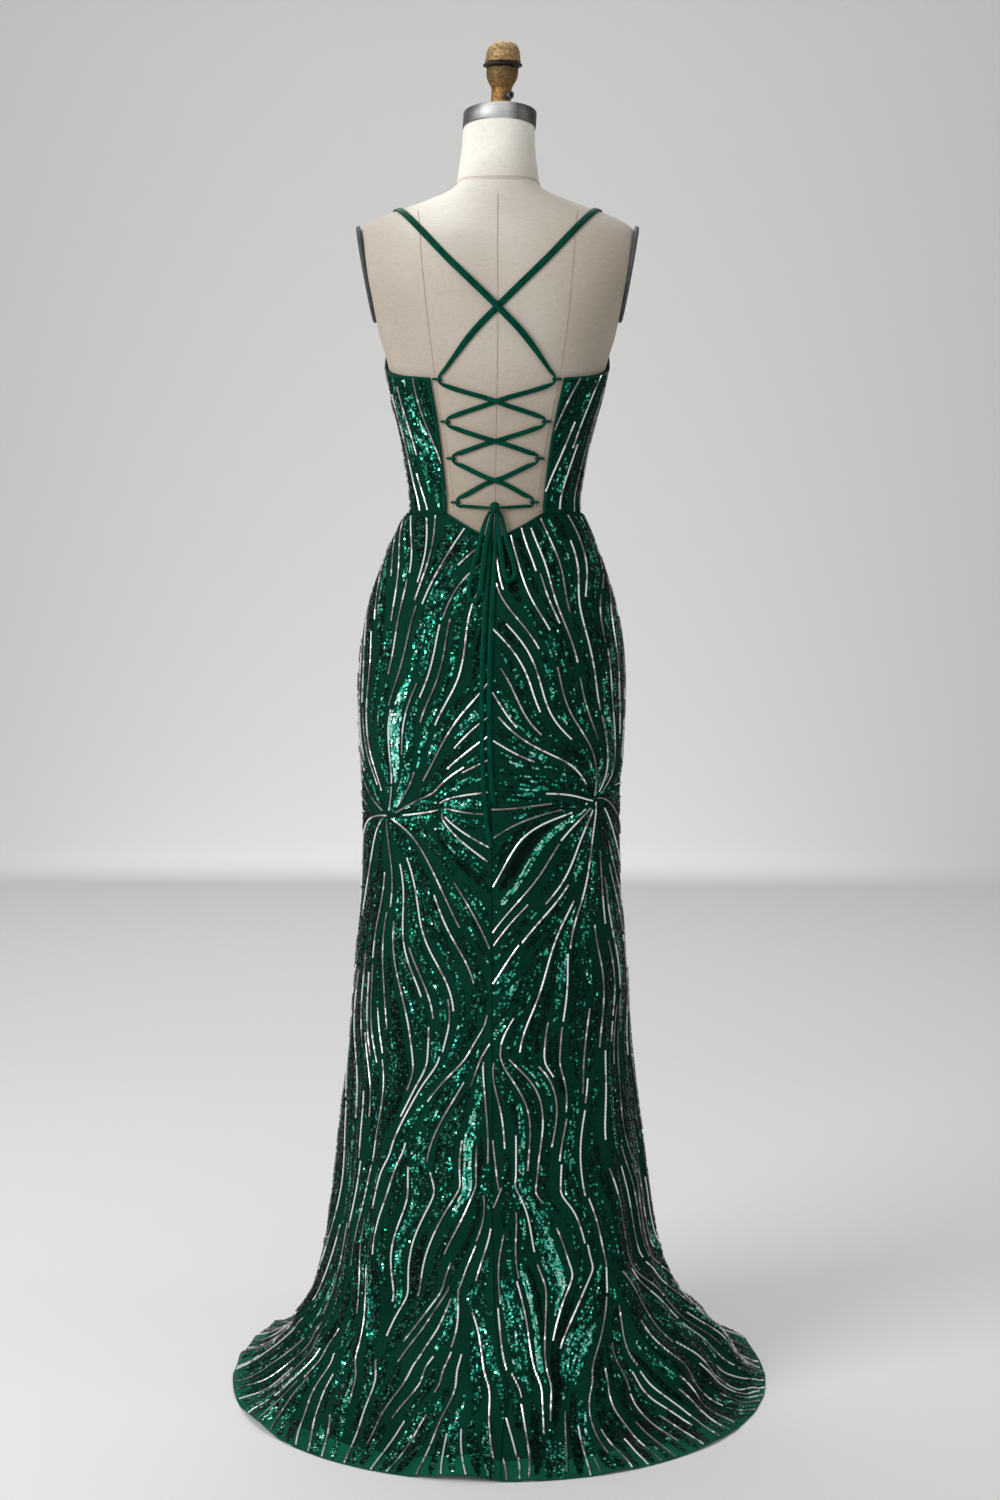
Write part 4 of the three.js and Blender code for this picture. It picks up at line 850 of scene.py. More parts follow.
def make_bow():
    for word, places in (("left", TAIL_LEFT), ("right", TAIL_RIGHT)):
        name = f"bow_tail_{word}"
        tail, points = bow_cord(name + "_satin", places, name)
        length = np.sum(np.linalg.norm(np.diff(points, axis=0), axis=-1)) * MM
        [tuple(p * MM) for p in points]
    for word, places in (("left", BOW_LOOP_LEFT), ("right", BOW_LOOP_RIGHT)):
        bow_cord(f"bow_loop_{word}_satin", places, f"bow_loop_{word}")
    middle, _ = on_surface(form_at, np.array([[0.0, 74, KNOT["z"]]]), np.array([KNOT["lift"]]))
    turns, rows = np.arange(40) * 2 * np.pi / 40, np.linspace(0.001, np.pi - 0.001, 25)
    row, turn = np.meshgrid(rows, turns, indexing="ij")
    # creases run round the knot where the laces are pulled through it
    crease = 1 - 0.07 * np.maximum(np.sin(3 * row + 2 * turn), 0) ** 3
    knot = np.stack([
        KNOT["width"] * np.sin(row) * np.cos(turn) * crease,
        KNOT["depth"] * np.sin(row) * np.sin(turn) * crease,
        KNOT["height"] * np.cos(row)], -1) + middle[0]
    uv = np.stack([row, turn], -1).reshape(-1, 2) * 0.006
    knot = mesh_piece("bow_knot_satin", lean(knot.reshape(-1, 3)), closed_faces(25, 40, reverse=True), uv=uv)
    finish(knot, SATIN, "bow_knot", slot="satin")


make_bow()
make_straps()
make_loops()


# The dress form

def ring_heights(table, count):
    """Heights between a table's ends, closer where its rows are closer."""
    rows = np.linspace(0, len(table["z"]) - 1, count)
    return np.interp(rows, np.arange(len(table["z"])), table["z"])


def body_rings(table, heights, cols, grow=0.0):
    z = np.asarray(heights, float)[:, None]
    angle = np.arange(cols)[None, :] * 360 / cols
    return section_point(table_at(table, "z", z), angle, grow)


def flat_at_arms(points):
    limit = ARM_PLANE["x"] - ARM_PLANE["lean"] * (ARM_PLANE["z"] - points[..., 2])
    points[..., 0] = np.sign(points[..., 0]) * np.minimum(np.abs(points[..., 0]), limit)
    return points


def make_torso():
    rings = flat_at_arms(body_rings(FORM, ring_heights(FORM, 130), 144))
    torso = loft("form_torso_linen", lean(rings))
    finish(torso, LINEN, "form_torso", slot="linen")


def seam_line(name, places):
    """A felled seam that follows the form, hardly proud of it."""
    places = np.asarray(places, float)
    near = spline(places, 8)
    points, normals = on_surface(form_at, near, np.full(len(near), 0.2))
    seam = tube(name, lean(points), normals, 1.0, 0.6, sides=6)
    finish(seam, SEAM, slot="linen")


def make_form_seams():
    seam_line("form_seam_centre", [(0, 90, z) for z in range(1120, 1500, 25)])
    for side, word in ((1, "left"), (-1, "right")):
        seam_line(f"form_seam_back_{word}", [
            (side * x, y, z) for x, y, z in (
                (98, 40, 1475), (96, 62, 1458), (94, 75, 1430), (91, 85, 1392), (87, 85, 1350),
                (83, 85, 1311), (79, 85, 1275), (72, 85, 1230), (64, 85, 1180), (57, 80, 1130),
                (54, 75, 1114))])
        seam_line(f"form_seam_front_{word}", [
            (side * x, -90, z) for x, z in (
                (112, 1462), (104, 1430), (96, 1395), (90, 1350), (84, 1300))])
        seam_line(f"form_seam_shoulder_{word}", [
            (side * x, y, z) for x, y, z in (
                (54, 2, 1512), (78, 3, 1500), (104, 4, 1490), (130, 4, 1480), (150, 4, 1468))])
    seam_line("form_seam_waist", [(x, 74, 1110) for x in range(-60, 61, 20)])
    base = section_point(table_at(NECK, "z", np.array(1506.5)), np.arange(0, 361, 5.0), 0.05)
    ring_normals = section_point(table_at(NECK, "z", np.array(1506.5)), np.arange(0, 361, 5.0), 1.05) - base
    seam = tube("form_seam_neck", lean(base), ring_normals, 0.9, 0.6, sides=6)
    finish(seam, SEAM, slot="linen")


def make_arm_plates():
    turn = np.arange(64) * 2 * np.pi / 64
    # rings from the rim at the form, over the rounded edge, to the slightly domed middle
    profile = columns("share out", [
        (1, 0), (1.0, 3.4), (0.985, 4.5), (0.96, 5.0), (0.9, 5.2), (0.86, 4.6), (0.8, 4.5), (0.4, 4.8),
        (0.05, 5.0)])
    slope = math.atan(ARM_PLANE["lean"])
    for side, word in ((1, "left"), (-1, "right")):
        rings = []
        for share, out in zip(*profile.values()):
            y = ARM_PLATE["width"] * share * np.cos(turn)
            up = ARM_PLATE["height"] * share * np.sin(turn)
            away = out + SEAM_GAP
            x = away * math.cos(slope) + up * math.sin(slope)
            z = up * math.cos(slope) - away * math.sin(slope)
            rings.append(np.stack([x, y, z], -1))
        rings = np.array(rings)
        rings[..., 0] += ARM_PLANE["x"] - ARM_PLANE["lean"] * (ARM_PLANE["z"] - ARM_PLATE["z"])
        rings[..., 1] += ARM_PLATE["y"]
        rings[..., 2] += ARM_PLATE["z"]
        rings[..., 0] *= side
        faces = closed_faces(len(rings), 64, reverse=side < 0)
        plate = mesh_piece(f"arm_plate_{word}_grey", lean(rings.reshape(-1, 3)), faces)
        finish(plate, ARM_GREY, f"arm_plate_{word}", slot="grey_plate")


def turned_rings(profile, segments, y=0, base=0):
    """Rings about an upright axis, from (radius, height) pairs going up a piece's outside."""
    angle = np.radians(np.arange(segments) * 360 / segments)
    return np.array([
        np.stack([r * np.sin(angle), r * np.cos(angle) + y, np.full(segments, float(z) + base)], -1)
        for r, z in profile])


def turned(name, profile, material, node_name, slot):
    """A turned piece of the knob."""
    rings = turned_rings(profile, 64, KNOB_Y, KNOB_Z)
    return finish(loft(name, lean(rings)), material, node_name, slot=slot)


def make_neck_and_knob():
    neck = loft("form_neck_linen", lean(body_rings(NECK, ring_heights(NECK, 24), 96)))
    finish(neck, LINEN, "form_neck", slot="linen")
    cap_profile = columns("z side back front back_round front_round tip dip", [
        (1577.4, 44.8, 36.6, 51.6, 2, 2, 0.25, 0),
        (1578.4, 45.2, 37.0, 52.0, 2, 2, 0.25, 0),
        (1595.2, 45.2, 37.0, 52.0, 2, 2, 0.25, 0),
        (1596.3, 44.7, 36.5, 51.5, 2, 2, 0.25, 0),
        (1596.9, 43.8, 35.6, 50.6, 2, 2, 0.25, 0),
        (1597.2, 30, 24, 36, 2, 2, 0.25, 0)])
    cap = loft("neck_cap_steel", lean(body_rings(cap_profile, cap_profile["z"], 96)))
    finish(cap, CAP_STEEL, "neck_cap", slot="steel")
    stem = [(12.2, 3.4), (12.3, 16), (12.3, 27), (12.8, 30.5), (14.2, 33.5), (16.4, 37), (18.4, 41),
            (19.4, 45), (19.7, 49), (19.7, 54.4), (19.1, 55.2), (4, 55.3)]
    turned("knob_stem_brass", stem, BRASS, "knob_stem", "aged_brass")
    ring = [(20, 55.7), (22.9, 56.2), (24, 57), (24.4, 58), (24, 58.9), (22.9, 59.8), (20, 60.3)]
    turned("knob_ring_rubber", ring, RING_RUBBER, "knob_ring", "black_rubber")
    top = [(19, 60.8), (21.8, 61), (22.2, 62.2), (21.6, 64.4), (21.4, 68), (20.8, 72), (19.9, 75.6),
           (18.6, 79), (16.6, 82), (13.6, 84.4), (9.6, 85.9), (5, 86.5), (0.8, 86.7)]
    turned("knob_top_brass", top, BRASS, "knob_top", "aged_brass")
    make_set_screw()


def make_set_screw():
    """A socket screw in the knob's stem, its head rounded at the rim and hollow in the middle."""
    profile = [(3, -4.2), (5.0, -4.2), (5.2, -3.8), (5.2, 3.0), (4.8, 3.9), (4.2, 4.2), (3.1, 4.2),
               (2.9, 3.8), (2.8, 1.2), (0.4, 1.0)]
    turn = np.arange(24) * 2 * np.pi / 24
    rings = np.array([np.stack([np.full(24, float(h)), r * np.cos(turn), r * np.sin(turn)], -1)
                      for r, h in profile])
    way = math.radians(126)
    rings[..., 0] += 12.3 + SEAM_GAP + 4
    x = rings[..., 0] * math.cos(way) - rings[..., 1] * math.sin(way)
    y = rings[..., 0] * math.sin(way) + rings[..., 1] * math.cos(way)
    points = np.stack([x, y + KNOB_Y, rings[..., 2] + 20 + KNOB_Z], -1)
    faces = closed_faces(len(profile), 24)
    screw = mesh_piece("knob_screw_steel", lean(points.reshape(-1, 3)), faces, smooth=False)
    finish(screw, SCREW_STEEL, "knob_screw", slot="steel")


def make_stand():
    foot = [(155, 0), (155, 4.2), (154, 5), (148, 8.6), (120, 11), (80, 13), (42, 15), (33, 18), (28, 23),
            (26, 28), (24.4, 40), (24, 60), (23, 62), (16, 62)]
    finish(loft("stand_foot_iron", turned_rings(foot, 96)), IRON, "stand_foot", slot="black_iron")
    pole = [(16, 62.3), (16, 300), (16, 550), (16, 799.7)]
    finish(loft("stand_pole_steel", turned_rings(pole, 96)), CAP_STEEL, "stand_pole", slot="steel")


make_torso()
make_form_seams()
make_arm_plates()
make_neck_and_knob()
make_stand()


# The gown's cloth

class Panel:
    """A cloth panel as a grid of outer points: columns across it, rows down it."""

    def __init__(self, name, points):
        self.name = name
        self.points = np.asarray(points)
        across = np.gradient(self.points, axis=1)
        down = np.gradient(self.points, axis=0)
        normal = np.cross(across, down)
        self.normals = normal / np.maximum(np.linalg.norm(normal, axis=-1, keepdims=True), 1e-9)
        self.across = np.linalg.norm(across, axis=-1)
        self.down = np.linalg.norm(down, axis=-1)
        self.cells = np.linalg.norm(normal, axis=-1)
        rows, cols = self.points.shape[:2]
        self.rows, self.cols = rows, cols
        # a flat map of the cloth in millimetres, for the pattern and the weave
        u = np.cumsum(self.across, axis=1) - self.across[:, :1]
        self.flat = np.stack([u - u[:, cols // 2 : cols // 2 + 1], np.cumsum(self.down, axis=0)], -1)

    def at(self, field, place):
        """A field of the panel at places given as (column, row), between its points."""
        place = np.asarray(place, float)
        i = np.clip(place[..., 0], 0, self.cols - 1.0001)
        j = np.clip(place[..., 1], 0, self.rows - 1.0001)
        i0, j0 = i.astype(int), j.astype(int)
        s, t = i - i0, j - j0
        if field.ndim == 3:
            s, t = s[..., None], t[..., None]
        top = field[j0, i0] * (1 - s) + field[j0, i0 + 1] * s
        low = field[j0 + 1, i0] * (1 - s) + field[j0 + 1, i0 + 1] * s
        return top * (1 - t) + low * t

    def area(self):
        return float(np.sum(self.cells)) * MM * MM

    def declare(self, piece, held, rests_on, with_pieces=()):
        """Works out the panel's area and the smallest rectangle that its flat shape fits in, and does nothing
        with them.
        """
        across = float(np.max(np.sum(self.across, axis=1))) * MM
        down = float(np.max(np.sum(self.down, axis=0))) * MM
        min(self.area(), across * down)
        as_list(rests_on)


def bodice_top(angle):
    return table_at(BODICE_TOP, "angle", np.where(angle > 180, 360 - angle, angle))["z"]


def bodice_back_points(cols, rows):
    a = np.linspace(0, 1, cols)[None, :]
    b = np.linspace(0, 1, rows)[:, None]
    z = bodice_top(30 + 60 * a) * (1 - b) + (WAIST_Z + SEAM_GAP / 2) * b
    row = form_at(z)
    edge = angle_of_x(row, table_at(OPENING, "z", z)["edge"])
    return section_point(row, edge * (1 - a) + 90 * a, BODICE_EASE + BODICE_WALL)


def bodice_front_points(cols, rows):
    angle = 90 + 180 * np.linspace(0, 1, cols)[None, :]
    b = np.linspace(0, 1, rows)[:, None]
    z = bodice_top(angle) * (1 - b) + (WAIST_Z + SEAM_GAP / 2) * b
    return section_point(form_at(z), angle, BODICE_EASE + BODICE_WALL)


def skirt_points(low, high, cols, rows, is_back):
    """A skirt panel's outer points, with the back's top edge dipping to a point at the middle."""
    angle = np.linspace(low, high, cols)
    corner = table_at(OPENING, "z", WAIST_Z)["edge"]
    top_x = np.abs(skirt_point(angle, 0.0)[:, 0])
    dip = np.where(top_x > corner, WAIST_Z, V_POINT_Z + (WAIST_Z - V_POINT_Z) * top_x / corner)
    start = table_at(SKIRT_BY_HEIGHT, "z", dip - SEAM_GAP / 2)["down"] if is_back else np.zeros(cols) + 0.2
    along = np.linspace(0, 1, rows)[:, None] * SKIRT_HEM
    reach = 194
    lowered = np.where(along < reach, start[None, :] + (reach - start[None, :]) * along / reach, along)
    return skirt_point(angle[None, :], lowered), lowered


def cloth_piece(panel, wall, material, node_names=(), rows=slice(None), name=None):
    """A panel's cloth, or some of its rows, as a closed wall."""
    piece = cloth_wall(name or panel.name, panel.points[rows], wall, panel.flat[rows] * MM, SEAM_GAP / 2)
    return finish(piece, material, *node_names, slot="sequin_net")


PANELS = {}
# The cloth pieces of each panel, with how they are held and what they rest on
CLOTHS = {}


def make_bodice():
    for side, word in ((1, "left"), (-1, "right")):
        points = bodice_back_points(44, 60)
        if side < 0:
            points = (points * [-1, 1, 1])[:, ::-1]
        name = f"bodice_back_{word}"
        panel = PANELS[name] = Panel(name + "_net", points)
        piece = cloth_piece(panel, BODICE_WALL, NET, [name])
        CLOTHS[name] = ([piece], "stretched", ["form_torso_linen"])
    panel = PANELS["bodice_front"] = Panel("bodice_front_net", bodice_front_points(150, 70))
    piece = cloth_piece(panel, BODICE_WALL, NET, ["bodice_front"])
    CLOTHS["bodice_front"] = ([piece], "stretched", ["form_torso_linen"])


def make_skirt():
    spans = {"skirt_back_left": (0, 90, 110, True), "skirt_back_right": (-90, 0, 110, True),
             "skirt_front": (90, 270, 200, False)}
    for name, (low, high, cols, is_back) in spans.items():
        points, downs = skirt_points(low, high, cols, 230, is_back)
        panel = PANELS[name] = Panel(name + "_net", points)
        hem = int(np.searchsorted(downs[:, cols // 2], LINING_HEM))
        lined, sheer = slice(0, hem + 1), slice(hem, None)
        piece = cloth_piece(panel, NET_WALL, NET, [name], lined)
        edge = cloth_piece(panel, NET_WALL * 0.4, SHEER, [], sheer, name + "_sheer_hem")
        CLOTHS[name] = ([piece, edge], "hung", ["form_torso_linen", "stage_floor"])


def make_lining():
    angle = np.linspace(0, 360, 361)[None, :]
    down = np.linspace(LINING_TOP, LINING_HEM, 24)[:, None]
    panel = Panel("lining_train_cloth", skirt_point(angle, down))
    points = panel.points - panel.normals * (NET_WALL + 0.35)
    points[..., 2] = np.maximum(points[..., 2], LINING_WALL + 0.1)
    piece = cloth_wall("lining_train_cloth", points, LINING_WALL, panel.flat * MM, SEAM_GAP / 2)
    finish(piece, LINING, "lining_train", slot="lining")
    panel.declare(piece, "laid", ["stage_floor"])


def bind(name, panel, edge, inner, width=3.2, node_names=()):
    """Binds an edge of a panel, given as the places of its points and of those next to them."""
    inwards = unit(panel.points[inner] - panel.points[edge])
    points = panel.points[edge] + panel.normals[edge] * (0.3 + BINDING_THICKNESS / 2) + inwards * width / 2
    piece = tube(name, lean(points), panel.normals[edge], width, BINDING_THICKNESS, sides=10)
    finish(piece, SATIN, *node_names, slot="satin")


def make_bindings():
    every, first, second = slice(None), 0, 1
    for side, word in ((1, "left"), (-1, "right")):
        panel = PANELS[f"bodice_back_{word}"]
        column, beside = (0, 1) if side > 0 else (-1, -2)
        bind(f"binding_laced_{word}_satin", panel, (every, column), (every, beside),
             node_names=[f"binding_laced_{word}"])
        bind(f"binding_back_{word}_satin", panel, first, second, node_names=[f"binding_back_{word}"])
        panel = PANELS[f"skirt_back_{word}"]
        corner = int(np.searchsorted(np.abs(panel.points[0, :, 0])[::side], 57))
        part = slice(0, corner) if side > 0 else slice(panel.cols - corner, panel.cols)
        bind(f"binding_v_{word}_satin", panel, (first, part), (second, part), width=2.4)
    bind("binding_front_satin", PANELS["bodice_front"], first, second, node_names=["binding_front"])


make_bodice()
make_skirt()
make_lining()
make_bindings()


# Beads and sequins: lines that follow a field of ways, as sprays of long curved leaves

LINE_SPACING = 8.8
LINE_STEP = 3.5
LINE_REACH = (40, 115)
FEWEST_STEPS = 8
# A line ends where it would come closer to another than this share of the spacing, or turn too sharply
CLOSEST_SHARE = 0.55
SHARPEST_TURN = 0.94
# Square millimetres of cloth for each try to start a line
AREA_PER_TRY = 130
# Edge of the boxes that sort the lines' points
BOX = 16
# Beads are started where there are fewer bead lines near than this share of the sequin lines
BEAD_SHARE = 0.62
ODD_SHARE = 0.06
BEAD_PITCH = 4.4
SEQUIN_PITCH = 1.95
STRAND_GAP = 2.3
# A flash above this lights a sequin up
FLASH_LIMIT = 1.4
# Length, width and tilt of each bead and sequin, and how many go in a piece
BEAD_SIZES = (4.1, 2.3, 0.05)
BEADS_A_PIECE = 9500
SEQUIN_SIZES = (2.9, 2.9, 0.34)
SEQUINS_A_PIECE = 45000
# How high above the floor the lowest beads and sequins lie
LOWEST_SEWN = 1.6
# A line's turn in degrees, from across the panel towards down it, near places on the skirt's back
WAYS_LEFT = columns("angle z way reach", [
    (70, 1065, 119, 45), (40, 1051, 106, 45), (21, 1051, 68, 40), (6, 1060, 41, 35), (62, 950, 108, 45),
    (38, 950, 78, 45), (20, 955, 90, 45), (6, 940, 61, 40), (61, 850, 102, 40), (40, 855, 75, 40),
    (26, 855, 60, 40), (11, 855, 40, 40), (3, 830, 32, 35), (64, 774, 138, 30), (44, 784, 84, 30),
    (30, 779, 55, 30), (10, 769, 28, 35), (2, 744, 10, 30), (68, 689, 51, 30), (50, 664, 91, 40),
    (36, 669, 127, 35), (20, 669, 119, 35), (6, 699, 136, 35), (2, 634, 118, 35), (61, 565, 82, 45),
    (42, 545, 102, 45), (26, 550, 107, 45), (12, 560, 113, 40), (2, 540, 100, 30), (66, 400, 100, 50),
    (40, 411, 98, 50), (24, 415, 90, 45), (10, 425, 61, 35), (2, 425, 48, 30), (68, 271, 94, 50),
    (40, 278, 95, 50), (24, 296, 83, 45), (10, 312, 66, 40), (2, 296, 80, 30), (71, 155, 77, 45),
    (40, 168, 104, 45), (26, 164, 82, 45), (14, 204, 67, 40), (4, 203, 75, 35), (78, 46, 73, 50),
    (57, 73, 69, 45), (36, 92, 108, 40), (21, 76, 56, 40), (10, 82, 75, 40), (2, 123, 83, 40),
    (68, 7, 71, 40), (50, 10, 110, 40), (32, 10, 101, 40), (16, 18, 77, 40), (4, 12, 90, 40)])
WAYS_RIGHT = columns("angle z way reach", [
    (-10, 1051, 108, 40), (-24, 1060, 85, 40), (-36, 1051, 99, 40), (-50, 1046, 87, 40),
    (-62, 1023, 52, 35), (-4, 955, 118, 35), (-12, 955, 111, 40), (-26, 955, 124, 40),
    (-42, 940, 107, 40), (-56, 925, 75, 40), (-4, 895, 136, 35), (-14, 880, 124, 40), (-28, 875, 124, 40),
    (-38, 880, 98, 40), (-58, 850, 97, 40), (-6, 825, 158, 30), (-19, 825, 152, 35), (-34, 825, 142, 30),
    (-49, 815, 99, 30), (-65, 789, 115, 30), (-7, 774, 173, 30), (-24, 774, 172, 30), (-9, 729, 13, 30),
    (-24, 739, 9, 25), (-5, 674, 48, 30), (-15, 674, 55, 35), (-30, 669, 54, 35), (-44, 669, 79, 35),
    (-55, 664, 100, 35), (-73, 659, 134, 35), (-6, 600, 55, 35), (-19, 600, 51, 40), (-34, 585, 73, 40),
    (-46, 570, 87, 40), (-64, 565, 97, 40), (-4, 500, 62, 30), (-14, 490, 63, 40), (-27, 485, 74, 45),
    (-42, 470, 88, 45), (-63, 465, 88, 45), (-4, 410, 128, 28), (-10, 405, 111, 32), (-20, 405, 77, 40),
    (-36, 385, 78, 45), (-60, 376, 90, 45), (-4, 321, 96, 35), (-15, 306, 85, 40), (-28, 307, 78, 45),
    (-44, 287, 94, 45), (-66, 272, 104, 45), (-6, 213, 105, 35), (-16, 188, 96, 40), (-26, 199, 68, 40),
    (-40, 217, 95, 40), (-61, 179, 110, 45), (-2, 115, 84, 35), (-10, 94, 96, 40), (-20, 89, 48, 35),
    (-32, 115, 39, 30), (-41, 99, 91, 40), (-70, 82, 111, 45), (-4, 27, 101, 40), (-15, 16, 85, 40),
    (-27, 21, 105, 40), (-46, 33, 120, 40), (-68, 17, 139, 40)])
# Places that lines spread from, all round or only below
HUBS_LEFT = columns("angle z reach pull below", [
    (50, 734, 62, 3, 0), (20, 749, 34, 1.4, 0), (4, 440, 90, 3.5, 1), (3, 290, 95, 4, 1), (12, 165, 80, 4, 1),
    (31, 326, 60, 2, 1)])
HUBS_RIGHT = columns("angle z reach pull below", [
    (-50, 754, 66, 3, 0), (-3, 450, 90, 3.5, 1), (-4, 290, 95, 4, 1), (-42, 185, 85, 4, 1)])
NO_ROWS = columns("angle z way reach", [(0, 0, 90, 1)])
NO_HUBS = columns("angle z reach pull below", [(0, 0, 1, 0, 0)])
# Main way of the lines on each panel of the bodice
MAIN_WAY = {"bodice_back_left": 101, "bodice_back_right": 79}
# Where the key light catches the sequins: x, y, z, reach and how much
CATCHES = columns("x y z reach share", [
    (112, 60, 850, 85, 0.9), (92, 90, 765, 55, 0.9), (-60, 110, 790, 60, 0.5), (30, 120, 790, 60, 0.4),
    (108, 60, 1210, 60, 0.5), (150, 150, 60, 90, 0.4)])


def round_to_front(table):
    """A back table's rows moved to the front, mirrored in the side seam."""
    moved = dict(table, angle=180 - table["angle"])
    if "way" in table:
        moved["way"] = 180 - table["way"]
    return moved


def joined(first, second):
    return {name: np.concatenate([first[name], second[name]]) for name in first}


def panel_tables(key):
    """The rows of ways and the hubs of a panel."""
    if key == "skirt_back_left":
        return WAYS_LEFT, HUBS_LEFT
    if key == "skirt_back_right":
        return WAYS_RIGHT, HUBS_RIGHT
    if key == "skirt_front":
        return (joined(round_to_front(WAYS_LEFT), round_to_front(WAYS_RIGHT)),
                joined(round_to_front(HUBS_LEFT), round_to_front(HUBS_RIGHT)))
    return NO_ROWS, NO_HUBS


def body_point(angle, z):
    row = skirt_at_height(z) if z < WAIST_Z else form_at(z)
    return section_point(row, angle)


def way_field(panel, key):
    """The lines' way all over a panel as doubled-angle parts, and how close together they run."""
    ways, hubs = panel_tables(key)
    turn = math.radians(2 * MAIN_WAY.get(key, 90))
    field = np.zeros(panel.points.shape[:2] + (2,)) + 0.04 * np.array([math.cos(turn), math.sin(turn)])
    for angle, z, way, reach in zip(*ways.values()):
        far = np.linalg.norm(panel.points - body_point(angle, z), axis=-1)
        turn = math.radians(2 * way)
        weight = np.exp(-((far / (1.3 * reach)) ** 2))
        field += weight[..., None] * np.array([math.cos(turn), math.sin(turn)])
    room = np.ones(panel.points.shape[:2])
    across = np.gradient(panel.points, axis=1) / panel.across[..., None]
    down = np.gradient(panel.points, axis=0) / panel.down[..., None]
    for angle, z, reach, pull, below in zip(*hubs.values()):
        away = panel.points - body_point(angle, z)
        far = np.linalg.norm(away, axis=-1)
        dx, dy = np.sum(away * across, -1), np.sum(away * down, -1)
        weight = pull * np.exp(-((far / reach) ** 2))
        if below:
            weight = weight * smoothstep(dy, -15, 35)
        turn = 2 * np.arctan2(dy, dx)
        field += weight[..., None] * np.stack([np.cos(turn), np.sin(turn)], -1)
        if pull:
            room = np.minimum(room, 0.4 + far / 80)
    place = panel.points
    sway = 0.16 * np.sin(place[..., 2] / 47 + place[..., 0] / 31) + 0.1 * np.sin(place[..., 2] / 21)
    turn = np.arctan2(field[..., 1], field[..., 0]) + 2 * sway
    return np.stack([np.cos(turn), np.sin(turn), room], -1)


def spray_lines(panel, key, seed):
    """Lines over a panel that follow its ways and keep their distance from each other."""
    random = np.random.default_rng(seed)
    ground = np.concatenate([
        panel.points, way_field(panel, key), panel.across[..., None], panel.down[..., None]], -1)
    grid = {}
    lines = []
    kinds = []

    def beside(p, limit):
        """Numbers of the lines with a point nearer than a limit."""
        a, b, c = (int(value // BOX) for value in p[:3])
        found = []
        for i in (a - 1, a, a + 1):
            for j in (b - 1, b, b + 1):
                for k in (c - 1, c, c + 1):
                    for x, y, z, number in grid.get((i, j, k), ()):
                        if (p[0] - x) ** 2 + (p[1] - y) ** 2 + (p[2] - z) ** 2 < limit * limit:
                            found.append(number)
        return found

    def trace(place, sense, most):
        track = []
        here = panel.at(ground, place).tolist()
        heading = None
        travelled = 0
        while travelled < most:
            way = math.atan2(here[4], here[3]) / 2
            x, y = math.cos(way) * sense, math.sin(way) * sense
            if heading is not None:
                turn = x * heading[0] + y * heading[1]
                if turn < 0:
                    x, y, turn = -x, -y, -turn
                if turn < SHARPEST_TURN:
                    break
            heading = (x, y)
            place = place + np.array([x * LINE_STEP / here[6], y * LINE_STEP / here[7]])
            if not (0.4 < place[0] < panel.cols - 1.4 and 0.4 < place[1] < panel.rows - 1.4):
                break
            here = panel.at(ground, place).tolist()
            if beside(here, LINE_SPACING * min(here[5], 1) * CLOSEST_SHARE):
                break
            track.append((place, here[:3]))
            travelled += LINE_STEP
        return track

    tries = int(panel.area() * 1e6 / AREA_PER_TRY)
    for start in random.uniform(0, 1, (tries, 2)) * [panel.cols - 1, panel.rows - 1]:
        here = panel.at(ground, start).tolist()
        if beside(here, LINE_SPACING * min(here[5], 1)):
            continue
        most = random.uniform(*LINE_REACH)
        track = trace(start, -1, most)[::-1] + [(start, here[:3])] + trace(start, 1, most)
        if len(track) < FEWEST_STEPS:
            continue
        near = [kinds[number] for _, p in track[::3] for number in beside(p, 1.5 * LINE_SPACING)]
        for _, p in track:
            grid.setdefault(tuple(int(value // BOX) for value in p), []).append((*p, len(lines)))
        lines.append(np.array([place for place, _ in track]))
        # a line is mostly of the kind that its neighbours aren't
        beads = near.count("beads") < BEAD_SHARE * near.count("sequins") if near else random.uniform() < 0.5
        kinds.append("beads" if beads != (random.uniform() < ODD_SHARE) else "sequins")
    return lines, kinds


def smooth_line(panel, places, pitch):
    """Places spaced evenly along a line, with their points, ways, normals and the way to their side."""
    points = panel.at(panel.points, places)
    length = np.concatenate([[0], np.cumsum(np.linalg.norm(np.diff(points, axis=0), axis=-1))])
    stops = np.arange(pitch / 2, length[-1], pitch)
    spread = np.stack([np.interp(stops, length, places[:, k]) for k in (0, 1)], -1)
    points = panel.at(panel.points, spread)
    ways = unit(np.gradient(points, axis=0))
    normals = panel.at(panel.normals, spread)
    return points, ways, normals, np.cross(normals, ways)


def soft_noise(random, count, reach):
    """Random values of spread 1 that change little over a reach of places."""
    rough = random.normal(size=count + reach - 1)
    return np.convolve(rough, np.ones(reach) / math.sqrt(reach), "valid")


